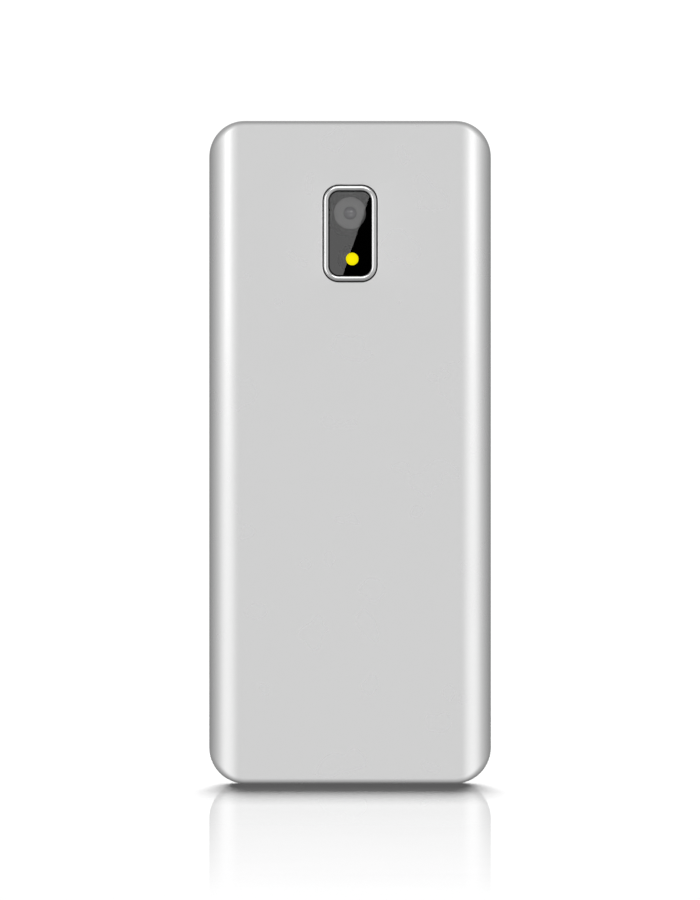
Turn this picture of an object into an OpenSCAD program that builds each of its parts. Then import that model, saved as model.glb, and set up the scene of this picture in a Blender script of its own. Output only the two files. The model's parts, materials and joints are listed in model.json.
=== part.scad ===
// Bar phone standing on its bottom end, front to -Y, back to +Y.
// All depths are measured from the front face towards the back.

/* [Body] */
// Width across the two long sides
body_w = 50.5; // [50:0.5:56]
// Height from the bottom end to the top end
body_h = 118.5; // [118:0.5:136]
// Depth from the front face to the flat of the back
body_d = 14.2; // [14:0.1:16.5]
// Radius of the four corners of the outline
corner_r = 6.4; // [5.4:0.1:7.6]
// Rounding of the front edge
front_edge_r = 2.2; // [1.2:0.1:2.4]
// Rounding of the back along the long sides
side_r = 5.45; // [5:0.05:5.6]
// Rounding of the back at the two ends
end_r = 0.95; // [0.5:0.05:1.1]
// Side wall of the front housing
shell_wall = 1.3; // [1.1:0.1:1.5]
// Front wall, in which the keys and the window sit
front_wall = 1.5; // [1.4:0.1:1.8]
// Wall of the back cover
cover_wall = 1.2; // [1:0.05:1.3]

/* [Display] */
// Width of the display window
window_w = 43.4; // [41:0.2:44.4]
// Thickness of the display window
window_t = 0.9; // [0.7:0.1:1]
// Width of the opening over the picture
view_w = 37.4; // [34:0.2:38.4]
// Space between the keypad mat and the display
display_key_gap = 0.6; // [0.3:0.1:2]
// Border between the picture and the top of the window
view_top = 2; // [1:0.1:4]
// Border between the picture and the bottom of the window
view_bottom = 3; // [1:0.1:6]
// Thickness of the display panel with its backlight
display_t = 2.2; // [2.1:0.1:2.4]

/* [Keypad] */
// Height of the keys above the front face
key_proud = 0.45; // [0.2:0.05:0.8]
// Travel of a pressed key
key_travel = 0.25; // [0.15:0.01:0.27]
// Margin between the keys and the long sides
key_margin = 3.55; // [3.2:0.05:5]
// Gap between the key columns
key_col_gap = 1.6; // [1.2:0.1:3]
// Height of a number key
digit_h = 5.2; // [4.4:0.1:6]
// Gap between the number rows
key_row_gap = 1.4; // [1.1:0.1:1.8]
// Height of the lowest key row above the bottom end
first_row = 13.2; // [12.6:0.1:15]
// Corner radius of a key
key_corner = 1.6; // [0.8:0.1:2]
// Width of the navigation ring
nav_w = 17.2; // [15:0.2:17.6]
// Height of the navigation ring
nav_h = 12.6; // [12:0.1:14]
// Gap between the navigation ring and the keys beside it
nav_side_gap = 2.3; // [1.4:0.1:3]
// Gap between the navigation ring and the number rows
nav_row_gap = 2; // [1.8:0.1:3]

/* [Camera] */
// Width of the camera ring
ring_w = 9.5; // [9:0.1:12]
// Height of the camera ring
ring_h = 17.1; // [16.4:0.1:19]
// Width of the band of the camera ring
ring_band = 0.95; // [0.7:0.05:1.1]
// Corner radius of the camera ring
ring_corner = 2.75; // [2:0.05:3.6]
// Height of the camera ring above the back
ring_proud = 0.35; // [0.1:0.05:0.8]
// Distance of the ring's centre from the top end
ring_from_top = 20.15; // [18:0.05:24]
// Radius of the camera barrel
barrel_r = 2.85; // [2.2:0.05:2.95]
// Radius of the camera's pupil
pupil_r = 1.17; // [0.8:0.01:1.4]
// Radius of the flash light
flash_r = 1.21; // [0.8:0.01:1.4]

/* [Battery] */
// Width of the battery
battery_w = 34; // [33.6:0.2:35.4]
// Height of the battery
battery_h = 53; // [50:0.5:54]
// Space between the battery and the back cover
battery_gap = 0.55; // [0.3:0.05:1]

/* [Sockets] */
// Radius of the bore of the audio socket
jack_bore_r = 1.8; // [1.25:0.05:1.85]
// Depth of the audio socket from the bottom end
jack_depth = 14; // [11:0.5:15]
// Distance of the audio socket from the middle
jack_offset = 13; // [11:0.5:14]
// Width of the charging socket
usb_w = 7.5; // [7:0.1:8.4]
// Thickness of the charging socket
usb_t = 2.6; // [2.4:0.1:2.8]

/* [Fasteners] */
// Radius of the screw core
screw_r = 0.6; // [0.5:0.05:0.7]
// Radius of the screw head
screw_head_r = 1.2; // [1:0.05:1.25]

/* [Fits] */
// Gap around a key in its opening
key_gap = 0.15; // [0.12:0.01:0.25]
// Gap around the navigation ring and the centre key
nav_gap = 0.25; // [0.22:0.01:0.35]
// Gap along the parting line of the shells
parting_gap = 0.12; // [0.08:0.01:0.2]
// Gap between the cover and the camera ring
ring_gap = 0.25; // [0.15:0.01:0.4]
// Clearance of a part in its pocket
slip = 0.1; // [0.06:0.01:0.14]
// Clearance of the battery in its bay
bay_slip = 0.2; // [0.15:0.05:0.3]

/* [Hidden] */
$fn = 64;
eps = 0.01;
cut = 2;

// Depth levels, front to back
window_seat = window_t + slip / 2;
display_d = front_wall + slip;
panel_t = display_t / 2;
flex_space = 0.2;
board_d = display_d + display_t + flex_space;
board_t = 0.8;
board_back = board_d + board_t;
component_h = 1.8;
floor_d = board_back + component_h;
floor_t = 0.6;
floor_back = floor_d + floor_t;
jack_hole_r = jack_bore_r + 0.15;
jack_t = 2 * jack_bore_r + 0.6;
jack_d = board_d + 0.1 + jack_t / 2;
rim_wall = 0.55;
roll_r = min(side_r, body_d - jack_d - jack_hole_r - rim_wall);
parting_d = body_d - roll_r;
rim_d = parting_d - parting_gap;
cover_in = body_d - cover_wall;
frame_back = cover_in - 0.25;
cap_t = 1;
cap_in = frame_back - cap_t;
gasket_t = 0.4;
glass_t = 0.9;
ring_back = body_d + ring_proud;
front_y = key_proud - (key_proud + ring_back) / 2;

// Outlines
half_w = body_w / 2;
inner_half = half_w - shell_wall;
tab_channel = 1.6;
frame_half = inner_half - tab_channel;
frame_end = shell_wall + 0.3;
screw_clear = 0.45;
block_half = frame_half - 2 * screw_head_r - screw_clear;
block_end = frame_end + 1.4;
board_gap = 0.7;

// Keypad heights
digit_w = (body_w - 2 * key_margin - 2 * key_col_gap) / 3;
key_pitch_x = digit_w + key_col_gap;
key_pitch_z = digit_h + key_row_gap;
keys_half = half_w - key_margin;
nav_z = first_row + 3 * key_pitch_z + digit_h / 2 + nav_row_gap + nav_h / 2;
side_key_w = keys_half - nav_w / 2 - nav_side_gap;
side_key_x = keys_half - side_key_w / 2;
side_key_h = (nav_h - key_row_gap) / 2;
side_key_dz = (side_key_h + key_row_gap) / 2;
nav_band_x = 4.8;
nav_band_z = 3.5;
ok_w = nav_w - 2 * nav_band_x;
ok_h = nav_h - 2 * nav_band_z;
ok_corner = 2.2;
nav_corner = 4;
flange = 0.45;
flange_t = 0.6;
plunger_r = 1.1;
plunger_hole_r = 1.45;
film_t = 0.1;
dome_r = 2;
dome_h = 0.25;
dome_d = board_d - film_t - dome_h;
plunger_end = dome_d - key_travel - 0.03;
key_rest = front_wall + 0.05;
mat_front = key_rest + flange_t + key_travel + 0.05;
mat_t = 0.7;
mat_edge = 0.7;
mat_rim = 1;
nav_swing = 0.4;
mat_w = 2 * (keys_half + mat_edge);
mat_z0 = first_row - digit_h / 2 - mat_edge;
mat_z1 = nav_z + nav_h / 2 + flange + nav_swing + mat_rim;
nav_rest = front_wall + 0.45;
nav_back = nav_rest + flange;
rocker_front = nav_back + 0.3;
rocker_t = 0.4;
rocker_w = nav_w - 4.2;
rocker_h = nav_h - 0.6;
rocker_axis = rocker_front + rocker_t;
ridge_r = 0.28;
ok_rest = nav_back + 0.3;
ok_flange_t = 0.35;
nub_r = 0.7;
nub_x = nav_w / 2 - 1.1;
nub_z = rocker_h / 2 - 1;

// Display heights
ear_z = body_h - 5.9;
speaker_w = 15;
speaker_h = 6;
panel_lap = 1.6;
tray_rim = 0.7;
tray_end = 1;
tray_lap = 1;
panel_w = view_w + 2 * panel_lap;
tray_w = panel_w + 2 * tray_rim;
display_top = ear_z - speaker_h / 2 - 0.6;
display_bottom = mat_z1 + display_key_gap;
display_h = display_top - display_bottom;
panel_h = display_h - 2 * tray_end;
display_z = (display_top + display_bottom) / 2;
window_h = display_h - 2 * tray_lap;
window_z = display_z;
view_h = window_h - view_top - view_bottom;
view_z = display_bottom + tray_lap + view_bottom + view_h / 2;
flex_w = 12;
flex_end = 2;
slot_w = 9;
slot_h = 1.3;
mesh_lap_x = 1.5;
mesh_lap_z = 1;
mesh_pitch = 0.9;
mesh_row = 0.33;
mesh_hole_r = 0.2;
mesh_t = 0.2;
mic_x = 8;
mic_z = 5.4;
mic_hole_r = 0.55;
mic_r = 2;
mic_t = 1.3;

// Camera heights
ring_z = body_h - ring_from_top;
glass_w = ring_w - 2 * ring_band;
glass_h = ring_h - 2 * ring_band;
glass_corner = ring_corner - ring_band;
glass_d = frame_back + gasket_t;
gasket_band = 0.6;
lens_edge = 0.5;
flash_edge = 1.24;
lens_z = ring_z + glass_h / 2 - gasket_band - lens_edge - barrel_r;
flash_z = ring_z - glass_h / 2 + gasket_band + flash_edge + flash_r;
flash_x = -0.38;
camera_base = 8;
camera_base_d = cap_in - 2.2;
barrel_d = glass_d - 0.2;
pupil_depth = 0.35;
lens_t = 0.3;
flash_base = 3.2;
flash_base_t = 0.8;

// Battery bay
bay_z0 = 21.4;
battery_z0 = bay_z0 + bay_slip;
battery_z1 = battery_z0 + battery_h;
spring_space = 0.5;
bay_z1 = battery_z1 + spring_space;
bay_half = battery_w / 2 + bay_slip;
bay_wall = 1;
battery_d = floor_back + 0.05;
battery_t = cover_in - battery_gap - battery_d;
battery_edge = min(2, battery_t / 2 - 0.1);
pad_t = 0.2;
pad_w = 1.8;
pad_pitch = 2.8;
connector_w = 9;
connector_h = 4;
contact_d = battery_d + battery_t / 2;
connector_t = contact_d + 1.5 - board_back;

// Board parts
sim_w = 15.4;
sim_h = 13.6;
socket_t = 1.4;
sim_x = sim_w / 2 + 0.6;
sim_z = bay_z1 - 3.4 - sim_h / 2;
card_w = 14.2;
card_h = 14.6;
card_run = 1.8;
card_z = sim_z - sim_h / 2 - card_run - 0.6 - card_h / 2;
can_w = 32;
can_h = 11;
can_t = 1.6;
can_z = bay_z0 + 2 + can_h / 2;
radio_w = 14;
radio_h = 16;
radio_x = -11;
radio_z = bay_z1 + 5 + radio_h / 2;
motor_x = 12;
motor_z0 = bay_z1 + 5;
motor_len = 8.5;
motor_r = 2;
motor_d = board_back + motor_r + 0.05;
shaft_r = 0.4;
weight_r = 1.75;
weight_gap = 0.5;
weight_len = 4;
jack_x = -jack_offset;
jack_w = 2 * jack_bore_r + 2;
jack_z0 = shell_wall + 0.1;
jack_back = 0.5;
jack_len = jack_depth - jack_z0 + jack_back;
usb_len = 5.2;
usb_wall = 0.3;
usb_d = board_back + 0.05;
usb_z0 = 0.9;

// Fasteners
screw_x = (block_half + frame_half) / 2;
screw_z = [6.6, body_h - 6.6];
screw_len = 3.4;
screw_head_h = 0.8;
boss_r = 1.9;
post_r = 1.35;
pilot_slip = 0.02;

// Cover fasteners
tab_end = 26;
tab_z = [tab_end, body_h / 2, body_h - tab_end];
tab_len = 6;
tab_d = floor_back + 0.3;
tab_in = frame_half + 0.2;
tab_out = inner_half - 0.3;
bead_r = 0.25;

// Every key but the centre one: name, place across, height, width, height of the cap
KEYS = [
  for (i = [0:11])
    [
      ["key_1", "key_2", "key_3", "key_4", "key_5", "key_6",
       "key_7", "key_8", "key_9", "key_star", "key_0", "key_hash"][i],
      (i % 3 - 1) * key_pitch_x,
      first_row + (3 - floor(i / 3)) * key_pitch_z,
      digit_w,
      digit_h
    ],
  ["soft_key_left", -side_key_x, nav_z + side_key_dz, side_key_w, side_key_h],
  ["soft_key_right", side_key_x, nav_z + side_key_dz, side_key_w, side_key_h],
  ["call_key", -side_key_x, nav_z - side_key_dz, side_key_w, side_key_h],
  ["end_key", side_key_x, nav_z - side_key_dz, side_key_w, side_key_h]
];

// Depth zero at the front face
module place() {
  translate([0, front_y, 0])
    children();
}

// A flat outline (across, height) thickened from depth d0 to depth d1
module slab(d0, d1) {
  translate([0, d1, 0])
    rotate([90, 0, 0])
      linear_extrude(d1 - d0)
        children();
}

// An outline (across, depth) run up the height from z0 to z1
module run_up(z0, z1) {
  translate([0, 0, z0])
    linear_extrude(z1 - z0)
      children();
}

// Rounded rectangle about the origin
module rounded(w, h, r) {
  square([w - 2 * r, h], center = true);
  square([w, h - 2 * r], center = true);
  for (x = [-1, 1])
    for (y = [-1, 1])
      translate([x * (w / 2 - r), y * (h / 2 - r)])
        circle(r);
}

// Round bar along the depth
module pin(x, z, d0, d1, r) {
  translate([x, d1, z])
    rotate([90, 0, 0])
      cylinder(h = d1 - d0, r = r);
}

// Box given by its six sides
module block(x0, x1, d0, d1, z0, z1) {
  translate([x0, d0, z0])
    cube([x1 - x0, d1 - d0, z1 - z0]);
}

// Section of a plate with its far edges rounded
module plate_section(half, depth, edge) {
  translate([-half + edge, 0])
    square([2 * (half - edge), depth]);
  translate([-half, 0])
    square([2 * half, depth - edge]);
  for (x = [-1, 1])
    translate([x * (half - edge), depth - edge])
      circle(edge);
}

// Rounded rectangle plate, edge rounded all around at its far face
module pillow(w, h, r, depth, edge) {
  linear_extrude(h - 2 * r, center = true)
    plate_section(w / 2, depth, edge);
  rotate([0, 90, 0])
    linear_extrude(w - 2 * r, center = true)
      plate_section(h / 2, depth, edge);
  for (c = [[1, -1, 0], [-1, -1, 90], [-1, 1, 180], [1, 1, 270]])
    translate([c[0] * (w / 2 - r), 0, c[1] * (h / 2 - r)])
      rotate([-90, 0, 0])
        rotate([0, 0, c[2]])
          rotate_extrude(angle = 90)
            corner_section(r, depth, edge);
}

// Half section of a round plate with its far edge rounded
module corner_section(r, depth, edge) {
  square([r - edge, depth]);
  square([r, depth - edge]);
  translate([r - edge, depth - edge])
    intersection() {
      circle(edge);
      square(edge);
    }
}

// The same plate, edge rounded at the face of depth d0
module front_pillow(w, h, r, d0, d1, edge) {
  translate([0, d1, 0])
    mirror([0, 1, 0])
      pillow(w, h, r, d1 - d0, edge);
}

// Depth section of the cover: flat back, long sides rolled over
module cover_section(half, back, r, d0) {
  translate([-half + r, d0])
    square([2 * (half - r), back - d0]);
  translate([-half, d0])
    square([2 * half, back - r - d0]);
  for (x = [-1, 1])
    translate([x * (half - r), back - r])
      circle(r);
}

// Front shell with its openings and screw bosses
module front_housing() {
  color("silver")
    place()
      difference() {
        union() {
          difference() {
            translate([0, 0, body_h / 2])
              front_pillow(body_w, body_h, corner_r, 0, rim_d, front_edge_r);
            translate([0, 0, body_h / 2])
              slab(front_wall, rim_d + cut)
                rounded(2 * inner_half, body_h - 2 * shell_wall, corner_r - shell_wall);
          }
          for (x = [-1, 1], z = screw_z) {
            pin(x * screw_x, z, front_wall - eps, board_d, boss_r);
            pin(x * screw_x, z, front_wall - eps, floor_d, post_r);
          }
        }
        for (x = [-1, 1], z = screw_z)
          pin(x * screw_x, z, board_d - screw_len / 2, floor_d + cut, screw_r + pilot_slip);
        display_openings();
        key_openings();
        translate([0, 0, ear_z])
          slab(-cut, front_wall + cut)
            rounded(slot_w, slot_h, slot_h / 2 - eps);
        pin(mic_x, mic_z, -cut, front_wall + cut, mic_hole_r);
        socket_openings();
        nail_scoop();
      }
}

// Seat of the display window and the opening over the picture
module display_openings() {
  translate([0, 0, window_z])
    slab(-cut, window_seat)
      rounded(window_w + 2 * slip, window_h + 2 * slip, 1.5 + slip);
  translate([0, 0, view_z])
    slab(-cut, front_wall + cut)
      square([view_w, view_h], center = true);
}

// Openings of the front wall for every key
module key_openings() {
  for (k = KEYS)
    translate([k[1], 0, k[2]])
      slab(-cut, front_wall + cut)
        rounded(k[3] + 2 * key_gap, k[4] + 2 * key_gap, key_corner + key_gap);
  translate([0, 0, nav_z])
    slab(-cut, front_wall + cut)
      rounded(nav_w + 2 * nav_gap, nav_h + 2 * nav_gap, nav_corner + nav_gap);
}

// Openings of the bottom end for the two sockets
module socket_openings() {
  translate([0, usb_d + usb_t / 2, 0])
    run_up(-cut, shell_wall + cut)
      rounded(usb_w + 0.6, usb_t + 0.6, 0.9);
  translate([jack_x, jack_d, 0])
    run_up(-cut, shell_wall + cut)
      circle(jack_hole_r);
}

// Fingernail scoop in the rim at the bottom end
module nail_scoop() {
  translate([9, rim_d + 0.3, -0.7])
    rotate([0, 90, 0])
      cylinder(h = 9, r = 1.2);
}

// Clear window over the display
module display_window() {
  color("black")
    place()
      translate([0, 0, window_z])
        slab(0, window_t)
          rounded(window_w, window_h, 1.5);
}

// Glass of the display
module lcd_panel() {
  color("midnightblue")
    place()
      translate([0, 0, display_z])
        slab(display_d, display_d + panel_t)
          square([panel_w, panel_h], center = true);
}

// Backlight tray, its rim up the sides of the glass
module lcd_backlight() {
  color("lightgray")
    place()
      translate([0, 0, display_z])
        difference() {
          slab(display_d + 0.3, display_d + display_t)
            square([tray_w, display_h], center = true);
          slab(display_d - cut, display_d + panel_t)
            square([panel_w + 2 * slip, panel_h + 2 * slip], center = true);
        }
}

// Flex strip between backlight and board
module lcd_flex() {
  color("peru")
    place()
      translate([0, 0, display_z - display_h / 4])
        slab(board_d - flex_space + 0.02, board_d - 0.02)
          rounded(flex_w, display_h / 2 - flex_end, flex_end / 2);
}

// Mesh behind the earpiece slot
module earpiece_mesh() {
  color("dimgray")
    place()
      translate([0, 0, ear_z])
        difference() {
          slab(front_wall, front_wall + mesh_t)
            rounded(slot_w + 2 * mesh_lap_x, slot_h + 2 * mesh_lap_z, mesh_lap_z);
          for (i = [-4:4], j = [-1, 1])
            pin(i * mesh_pitch, j * mesh_row, front_wall - cut, front_wall + cut, mesh_hole_r);
        }
}

// Speaker between mesh and board
module speaker() {
  color("gray")
    place()
      translate([0, 0, ear_z]) {
        slab(front_wall + mesh_t, board_d - 0.6)
          rounded(speaker_w, speaker_h, 1.2);
        slab(board_d - 0.6 - eps, board_d)
          rounded(speaker_w - 2, speaker_h - 1.6, 1);
      }
}

// Cap, flange and plunger of one key
module key(k) {
  color("whitesmoke")
    place()
      translate([k[1], 0, k[2]]) {
        front_pillow(k[3], k[4], key_corner, -key_proud, key_rest + eps, 0.3);
        slab(key_rest, key_rest + flange_t)
          rounded(k[3] + 2 * flange, k[4] + 2 * flange, key_corner + flange);
        pin(0, 0, key_rest + flange_t - eps, plunger_end, plunger_r);
      }
}

// Navigation ring with two nubs and the ridge on which it rocks
module navigation_ring() {
  color("silver")
    place()
      translate([0, 0, nav_z]) {
        difference() {
          union() {
            front_pillow(nav_w, nav_h, nav_corner, -key_proud, nav_rest + eps, 0.3);
            slab(nav_rest, nav_back)
              rounded(nav_w + 2 * flange, nav_h + 2 * flange, nav_corner + flange);
          }
          slab(-cut, nav_back + cut)
            rounded(ok_w + 2 * nav_gap, ok_h + 2 * nav_gap, ok_corner + nav_gap);
        }
        for (s = [-1, 1]) {
          pin(s * nub_x, 0, nav_back - eps, plunger_end, nub_r);
          translate([0, nav_back, s * (rocker_h / 2 - 1) - 0.75])
            cylinder(h = 1.5, r = ridge_r);
        }
      }
}

// Rocker plate under the ring, with two nubs and a cross ridge
module navigation_rocker() {
  color("dimgray")
    place()
      translate([0, 0, nav_z]) {
        difference() {
          slab(rocker_front, rocker_axis)
            rounded(rocker_w, rocker_h, 2);
          slab(rocker_front - cut, rocker_axis + cut)
            rounded(ok_w + 2 * flange + 1.2, ok_h + 2 * flange + 1.2, ok_corner + 0.6);
        }
        for (s = [-1, 1]) {
          pin(0, s * nub_z, rocker_axis - eps, plunger_end, nub_r);
          translate([s * (rocker_w / 2 - 0.7) - 0.6, rocker_axis, 0])
            rotate([0, 90, 0])
              cylinder(h = 1.2, r = ridge_r);
        }
      }
}

// Centre key inside the navigation ring
module ok_key() {
  color("whitesmoke")
    place()
      translate([0, 0, nav_z]) {
        front_pillow(ok_w, ok_h, ok_corner, -key_proud, ok_rest + eps, 0.3);
        slab(ok_rest, ok_rest + ok_flange_t)
          rounded(ok_w + 2 * flange, ok_h + 2 * flange, ok_corner + flange);
        pin(0, 0, ok_rest + ok_flange_t - eps, plunger_end, plunger_r);
      }
}

// Silicone mat with a hole for every plunger
module keypad_mat() {
  color("gainsboro")
    place()
      difference() {
        translate([0, 0, (mat_z0 + mat_z1) / 2])
          slab(mat_front, board_d - film_t)
            rounded(mat_w, mat_z1 - mat_z0, 1);
        translate([0, 0, (mat_z0 + mat_z1) / 2])
          slab(mat_front + mat_t, board_d + cut)
            square([mat_w - 2 * mat_rim, mat_z1 - mat_z0 - 2 * mat_rim], center = true);
        for (k = KEYS)
          pin(k[1], k[2], mat_front - cut, board_d + cut, plunger_hole_r);
        translate([0, 0, nav_z])
          slab(mat_front - cut, board_d + cut)
            rounded(
              nav_w + 2 * (flange + nav_swing),
              nav_h + 2 * (flange + nav_swing),
              nav_corner
            );
      }
}

// Snap dome
module dome() {
  cap = (dome_r * dome_r + dome_h * dome_h) / (2 * dome_h);
  intersection() {
    translate([0, dome_d + cap, 0])
      sphere(cap, $fn = 96);
    pin(0, 0, dome_d - cut, board_d - film_t / 2, dome_r);
  }
}

// Film with a snap dome under every key, and the two rests of the rocker
module dome_sheet() {
  color("lightsteelblue")
    place() {
      translate([0, 0, (mat_z0 + mat_z1) / 2])
        slab(board_d - film_t, board_d)
          rounded(mat_w, mat_z1 - mat_z0, 1);
      for (k = KEYS)
        translate([k[1], 0, k[2]])
          dome();
      translate([0, 0, nav_z])
        dome();
      for (s = [-1, 1]) {
        translate([s * nub_x, 0, nav_z])
          dome_small();
        translate([0, 0, nav_z + s * nub_z])
          dome_small();
        pin(s * (rocker_w / 2 - 1), nav_z, rocker_axis + ridge_r + 0.02, board_d - film_t + eps, 0.35);
      }
    }
}

// Smaller snap dome, for the four ways of the navigation ring
module dome_small() {
  pin(0, 0, dome_d, board_d - film_t + eps, 0.75);
}

// Circuit board with holes for the posts and a notch for the audio socket
module main_board() {
  color("darkgreen")
    place()
      difference() {
        translate([0, 0, body_h / 2])
          slab(board_d, board_back)
            rounded(
              2 * (inner_half - board_gap),
              body_h - 2 * (shell_wall + board_gap),
              corner_r - shell_wall - board_gap
            );
        for (x = [-1, 1], z = screw_z)
          pin(x * screw_x, z, board_d - cut, board_back + cut, post_r + 0.15);
        block(
          jack_x - jack_w / 2 - 0.2, jack_x + jack_w / 2 + 0.2,
          board_d - cut, board_back + cut,
          -cut, jack_z0 + jack_len + 0.2
        );
      }
}

// Shield can over the main chips
module baseband_shield() {
  color("lightgray")
    place()
      translate([0, 0, can_z])
        difference() {
          slab(board_back, board_back + can_t)
            rounded(can_w, can_h, 1);
          slab(board_back - cut, board_back + can_t - 0.2)
            rounded(can_w - 0.4, can_h - 0.4, 0.8);
        }
}

// Shield can over the radio
module radio_shield() {
  color("lightgray")
    place()
      translate([radio_x, 0, radio_z])
        difference() {
          slab(board_back, board_back + can_t)
            rounded(radio_w, radio_h, 1);
          slab(board_back - cut, board_back + can_t - 0.2)
            rounded(radio_w - 0.4, radio_h - 0.4, 0.8);
        }
}

// Shell of the charging socket, open at the bottom end
module usb_socket() {
  color("lightgray")
    place()
      translate([0, usb_d + usb_t / 2, 0])
        difference() {
          run_up(usb_z0, usb_z0 + usb_len)
            rounded(usb_w, usb_t, 0.7);
          run_up(usb_z0 - cut, usb_z0 + usb_len - usb_wall)
            rounded(usb_w - 2 * usb_wall, usb_t - 2 * usb_wall, 0.4);
        }
}

// Tongue inside the charging socket
module usb_tongue() {
  color("black")
    place()
      translate([0, usb_d + usb_t / 2, 0]) {
        run_up(usb_z0 + 0.8, usb_z0 + usb_len - usb_wall)
          square([usb_w / 2, 0.6], center = true);
        run_up(usb_z0 + usb_len - usb_wall - 1, usb_z0 + usb_len - usb_wall)
          square([usb_w - 2 * usb_wall - 0.8, usb_t - 2 * usb_wall - 0.2], center = true);
      }
}

// Audio socket, its bore open at the bottom end
module audio_jack() {
  color("dimgray")
    place()
      translate([jack_x, jack_d, 0])
        difference() {
          run_up(jack_z0, jack_z0 + jack_len)
            square([jack_w, jack_t], center = true);
          run_up(jack_z0 - cut, jack_depth)
            circle(jack_bore_r);
        }
}

// Microphone on the front of the board
module microphone() {
  color("goldenrod")
    place()
      pin(mic_x, mic_z, board_d - mic_t, board_d, mic_r);
}

// Rubber boot between the microphone and its hole
module microphone_boot() {
  color("black")
    place()
      difference() {
        pin(mic_x, mic_z, front_wall, board_d, mic_r + 0.7);
        pin(mic_x, mic_z, board_d - mic_t - 0.02, board_d + cut, mic_r + 0.02);
        pin(mic_x, mic_z, front_wall - cut, board_d, mic_hole_r + 0.2);
      }
}

// Camera body on the board, its barrel behind the glass
module camera_module() {
  color("dimgray")
    place()
      translate([0, 0, lens_z])
        difference() {
          union() {
            slab(board_back, camera_base_d)
              square(camera_base, center = true);
            pin(0, 0, camera_base_d - eps, barrel_d, barrel_r);
          }
          pin(0, 0, barrel_d - pupil_depth, barrel_d + cut, pupil_r + 0.02);
        }
}

// Front lens in the pupil
module camera_lens() {
  color("midnightblue")
    place()
      translate([0, 0, lens_z])
        pin(0, 0, barrel_d - pupil_depth, barrel_d - pupil_depth + lens_t, pupil_r);
}

// Foam frame under the glass
module camera_gasket() {
  color("black")
    place()
      translate([0, 0, ring_z])
        difference() {
          slab(frame_back, glass_d)
            rounded(glass_w - 0.2, glass_h - 0.2, glass_corner - 0.1);
          slab(frame_back - cut, glass_d + cut)
            rounded(glass_w - 2 * gasket_band, glass_h - 2 * gasket_band, glass_corner * 0.4);
        }
}

// Section of the ring's band: straight sides, half-round top
module band_section() {
  square([ring_band, ring_back - frame_back - ring_band / 2]);
  translate([ring_band / 2, ring_back - frame_back - ring_band / 2])
    circle(ring_band / 2);
}

// Bright ring around the camera window
module camera_ring() {
  color("lightgray")
    place()
      translate([0, frame_back, ring_z]) {
        for (s = [-1, 1]) {
          translate([s * (ring_w - ring_band) / 2 - ring_band / 2, 0, 0])
            linear_extrude(ring_h - 2 * ring_corner, center = true)
              band_section();
          translate([0, 0, s * (ring_h - ring_band) / 2 + ring_band / 2])
            rotate([0, 90, 0])
              linear_extrude(ring_w - 2 * ring_corner, center = true)
                band_section();
        }
        for (c = [[1, -1, 0], [-1, -1, 90], [-1, 1, 180], [1, 1, 270]])
          translate([c[0] * (ring_w / 2 - ring_corner), 0, c[1] * (ring_h / 2 - ring_corner)])
            rotate([-90, 0, 0])
              rotate([0, 0, c[2]])
                rotate_extrude(angle = 90)
                  translate([ring_corner - ring_band, 0])
                    band_section();
      }
}

// Flat glass in the ring
module camera_window() {
  color("black")
    place()
      translate([0, 0, ring_z])
        slab(glass_d, glass_d + glass_t)
          rounded(glass_w - slip, glass_h - slip, glass_corner - slip / 2);
}

// Flash package under the frame's cap
module flash_led() {
  color("ivory")
    place()
      translate([flash_x, 0, flash_z])
        slab(cap_in - flash_base_t, cap_in)
          square(flash_base, center = true);
}

// Round flash light in the cap's hole
module flash_lens() {
  color("yellow")
    place()
      pin(flash_x, flash_z, cap_in, barrel_d, flash_r);
}

// Inner frame: bay floor, bay walls, camera seat and antenna carrier
module rear_frame() {
  color("black")
    place()
      difference() {
        union() {
          translate([0, 0, body_h / 2])
            slab(floor_d, floor_back)
              rounded(2 * frame_half, body_h - 2 * frame_end, corner_r - 2);
          block(-block_half, block_half, floor_d, frame_back, block_end, bay_z0);
          block(-block_half, block_half, floor_d, frame_back, bay_z1, body_h - block_end);
          for (s = [-1, 1])
            block(
              s * (bay_half + bay_wall / 2) - bay_wall / 2, s * (bay_half + bay_wall / 2) + bay_wall / 2,
              floor_d, frame_back - 0.4,
              bay_z0 - eps, bay_z1 + eps
            );
        }
        block(
          -block_half + bay_wall, block_half - bay_wall,
          floor_d - cut, cap_in,
          block_end + bay_wall, bay_z0 - bay_wall
        );
        block(
          -block_half + bay_wall, block_half - bay_wall,
          floor_d - cut, cap_in,
          bay_z1 + bay_wall, body_h - block_end - bay_wall
        );
        frame_openings();
      }
}

// Opening over a card socket, longer at the socket's mouth
module card_opening(x, z, w, h) {
  block(
    x - w / 2 + 1, x + w / 2 - 1,
    floor_d - cut, floor_back + cut,
    z - h / 2 - card_run, z + h / 2 + slip
  );
}

// Openings of the inner frame
module frame_openings() {
  for (s = [-1, 1])
    card_opening(s * sim_x, sim_z, sim_w, sim_h);
  card_opening(0, card_z, card_w, card_h);
  block(
    -connector_w / 2 - 0.3, connector_w / 2 + 0.3,
    floor_d - cut, board_back + connector_t + 0.3,
    bay_z1 - cut / 4, bay_z1 + connector_h + 0.5
  );
  block(-usb_w / 2 - 0.4, usb_w / 2 + 0.4, floor_d - cut, usb_d + usb_t + 0.3, -cut, block_end + cut);
  block(
    jack_x - jack_w / 2 - 0.3, jack_x + jack_w / 2 + 0.3,
    floor_d - cut, jack_d + jack_t / 2 + 0.3,
    -cut, block_end + cut
  );
  pin(0, lens_z, cap_in - cut, frame_back + cut, barrel_r + 0.15);
  pin(flash_x, flash_z, cap_in - cut, frame_back + cut, flash_r + 0.1);
  for (x = [-1, 1], z = screw_z)
    pin(x * screw_x, z, floor_d - cut, floor_back + cut, screw_r + 0.15);
}

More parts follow.
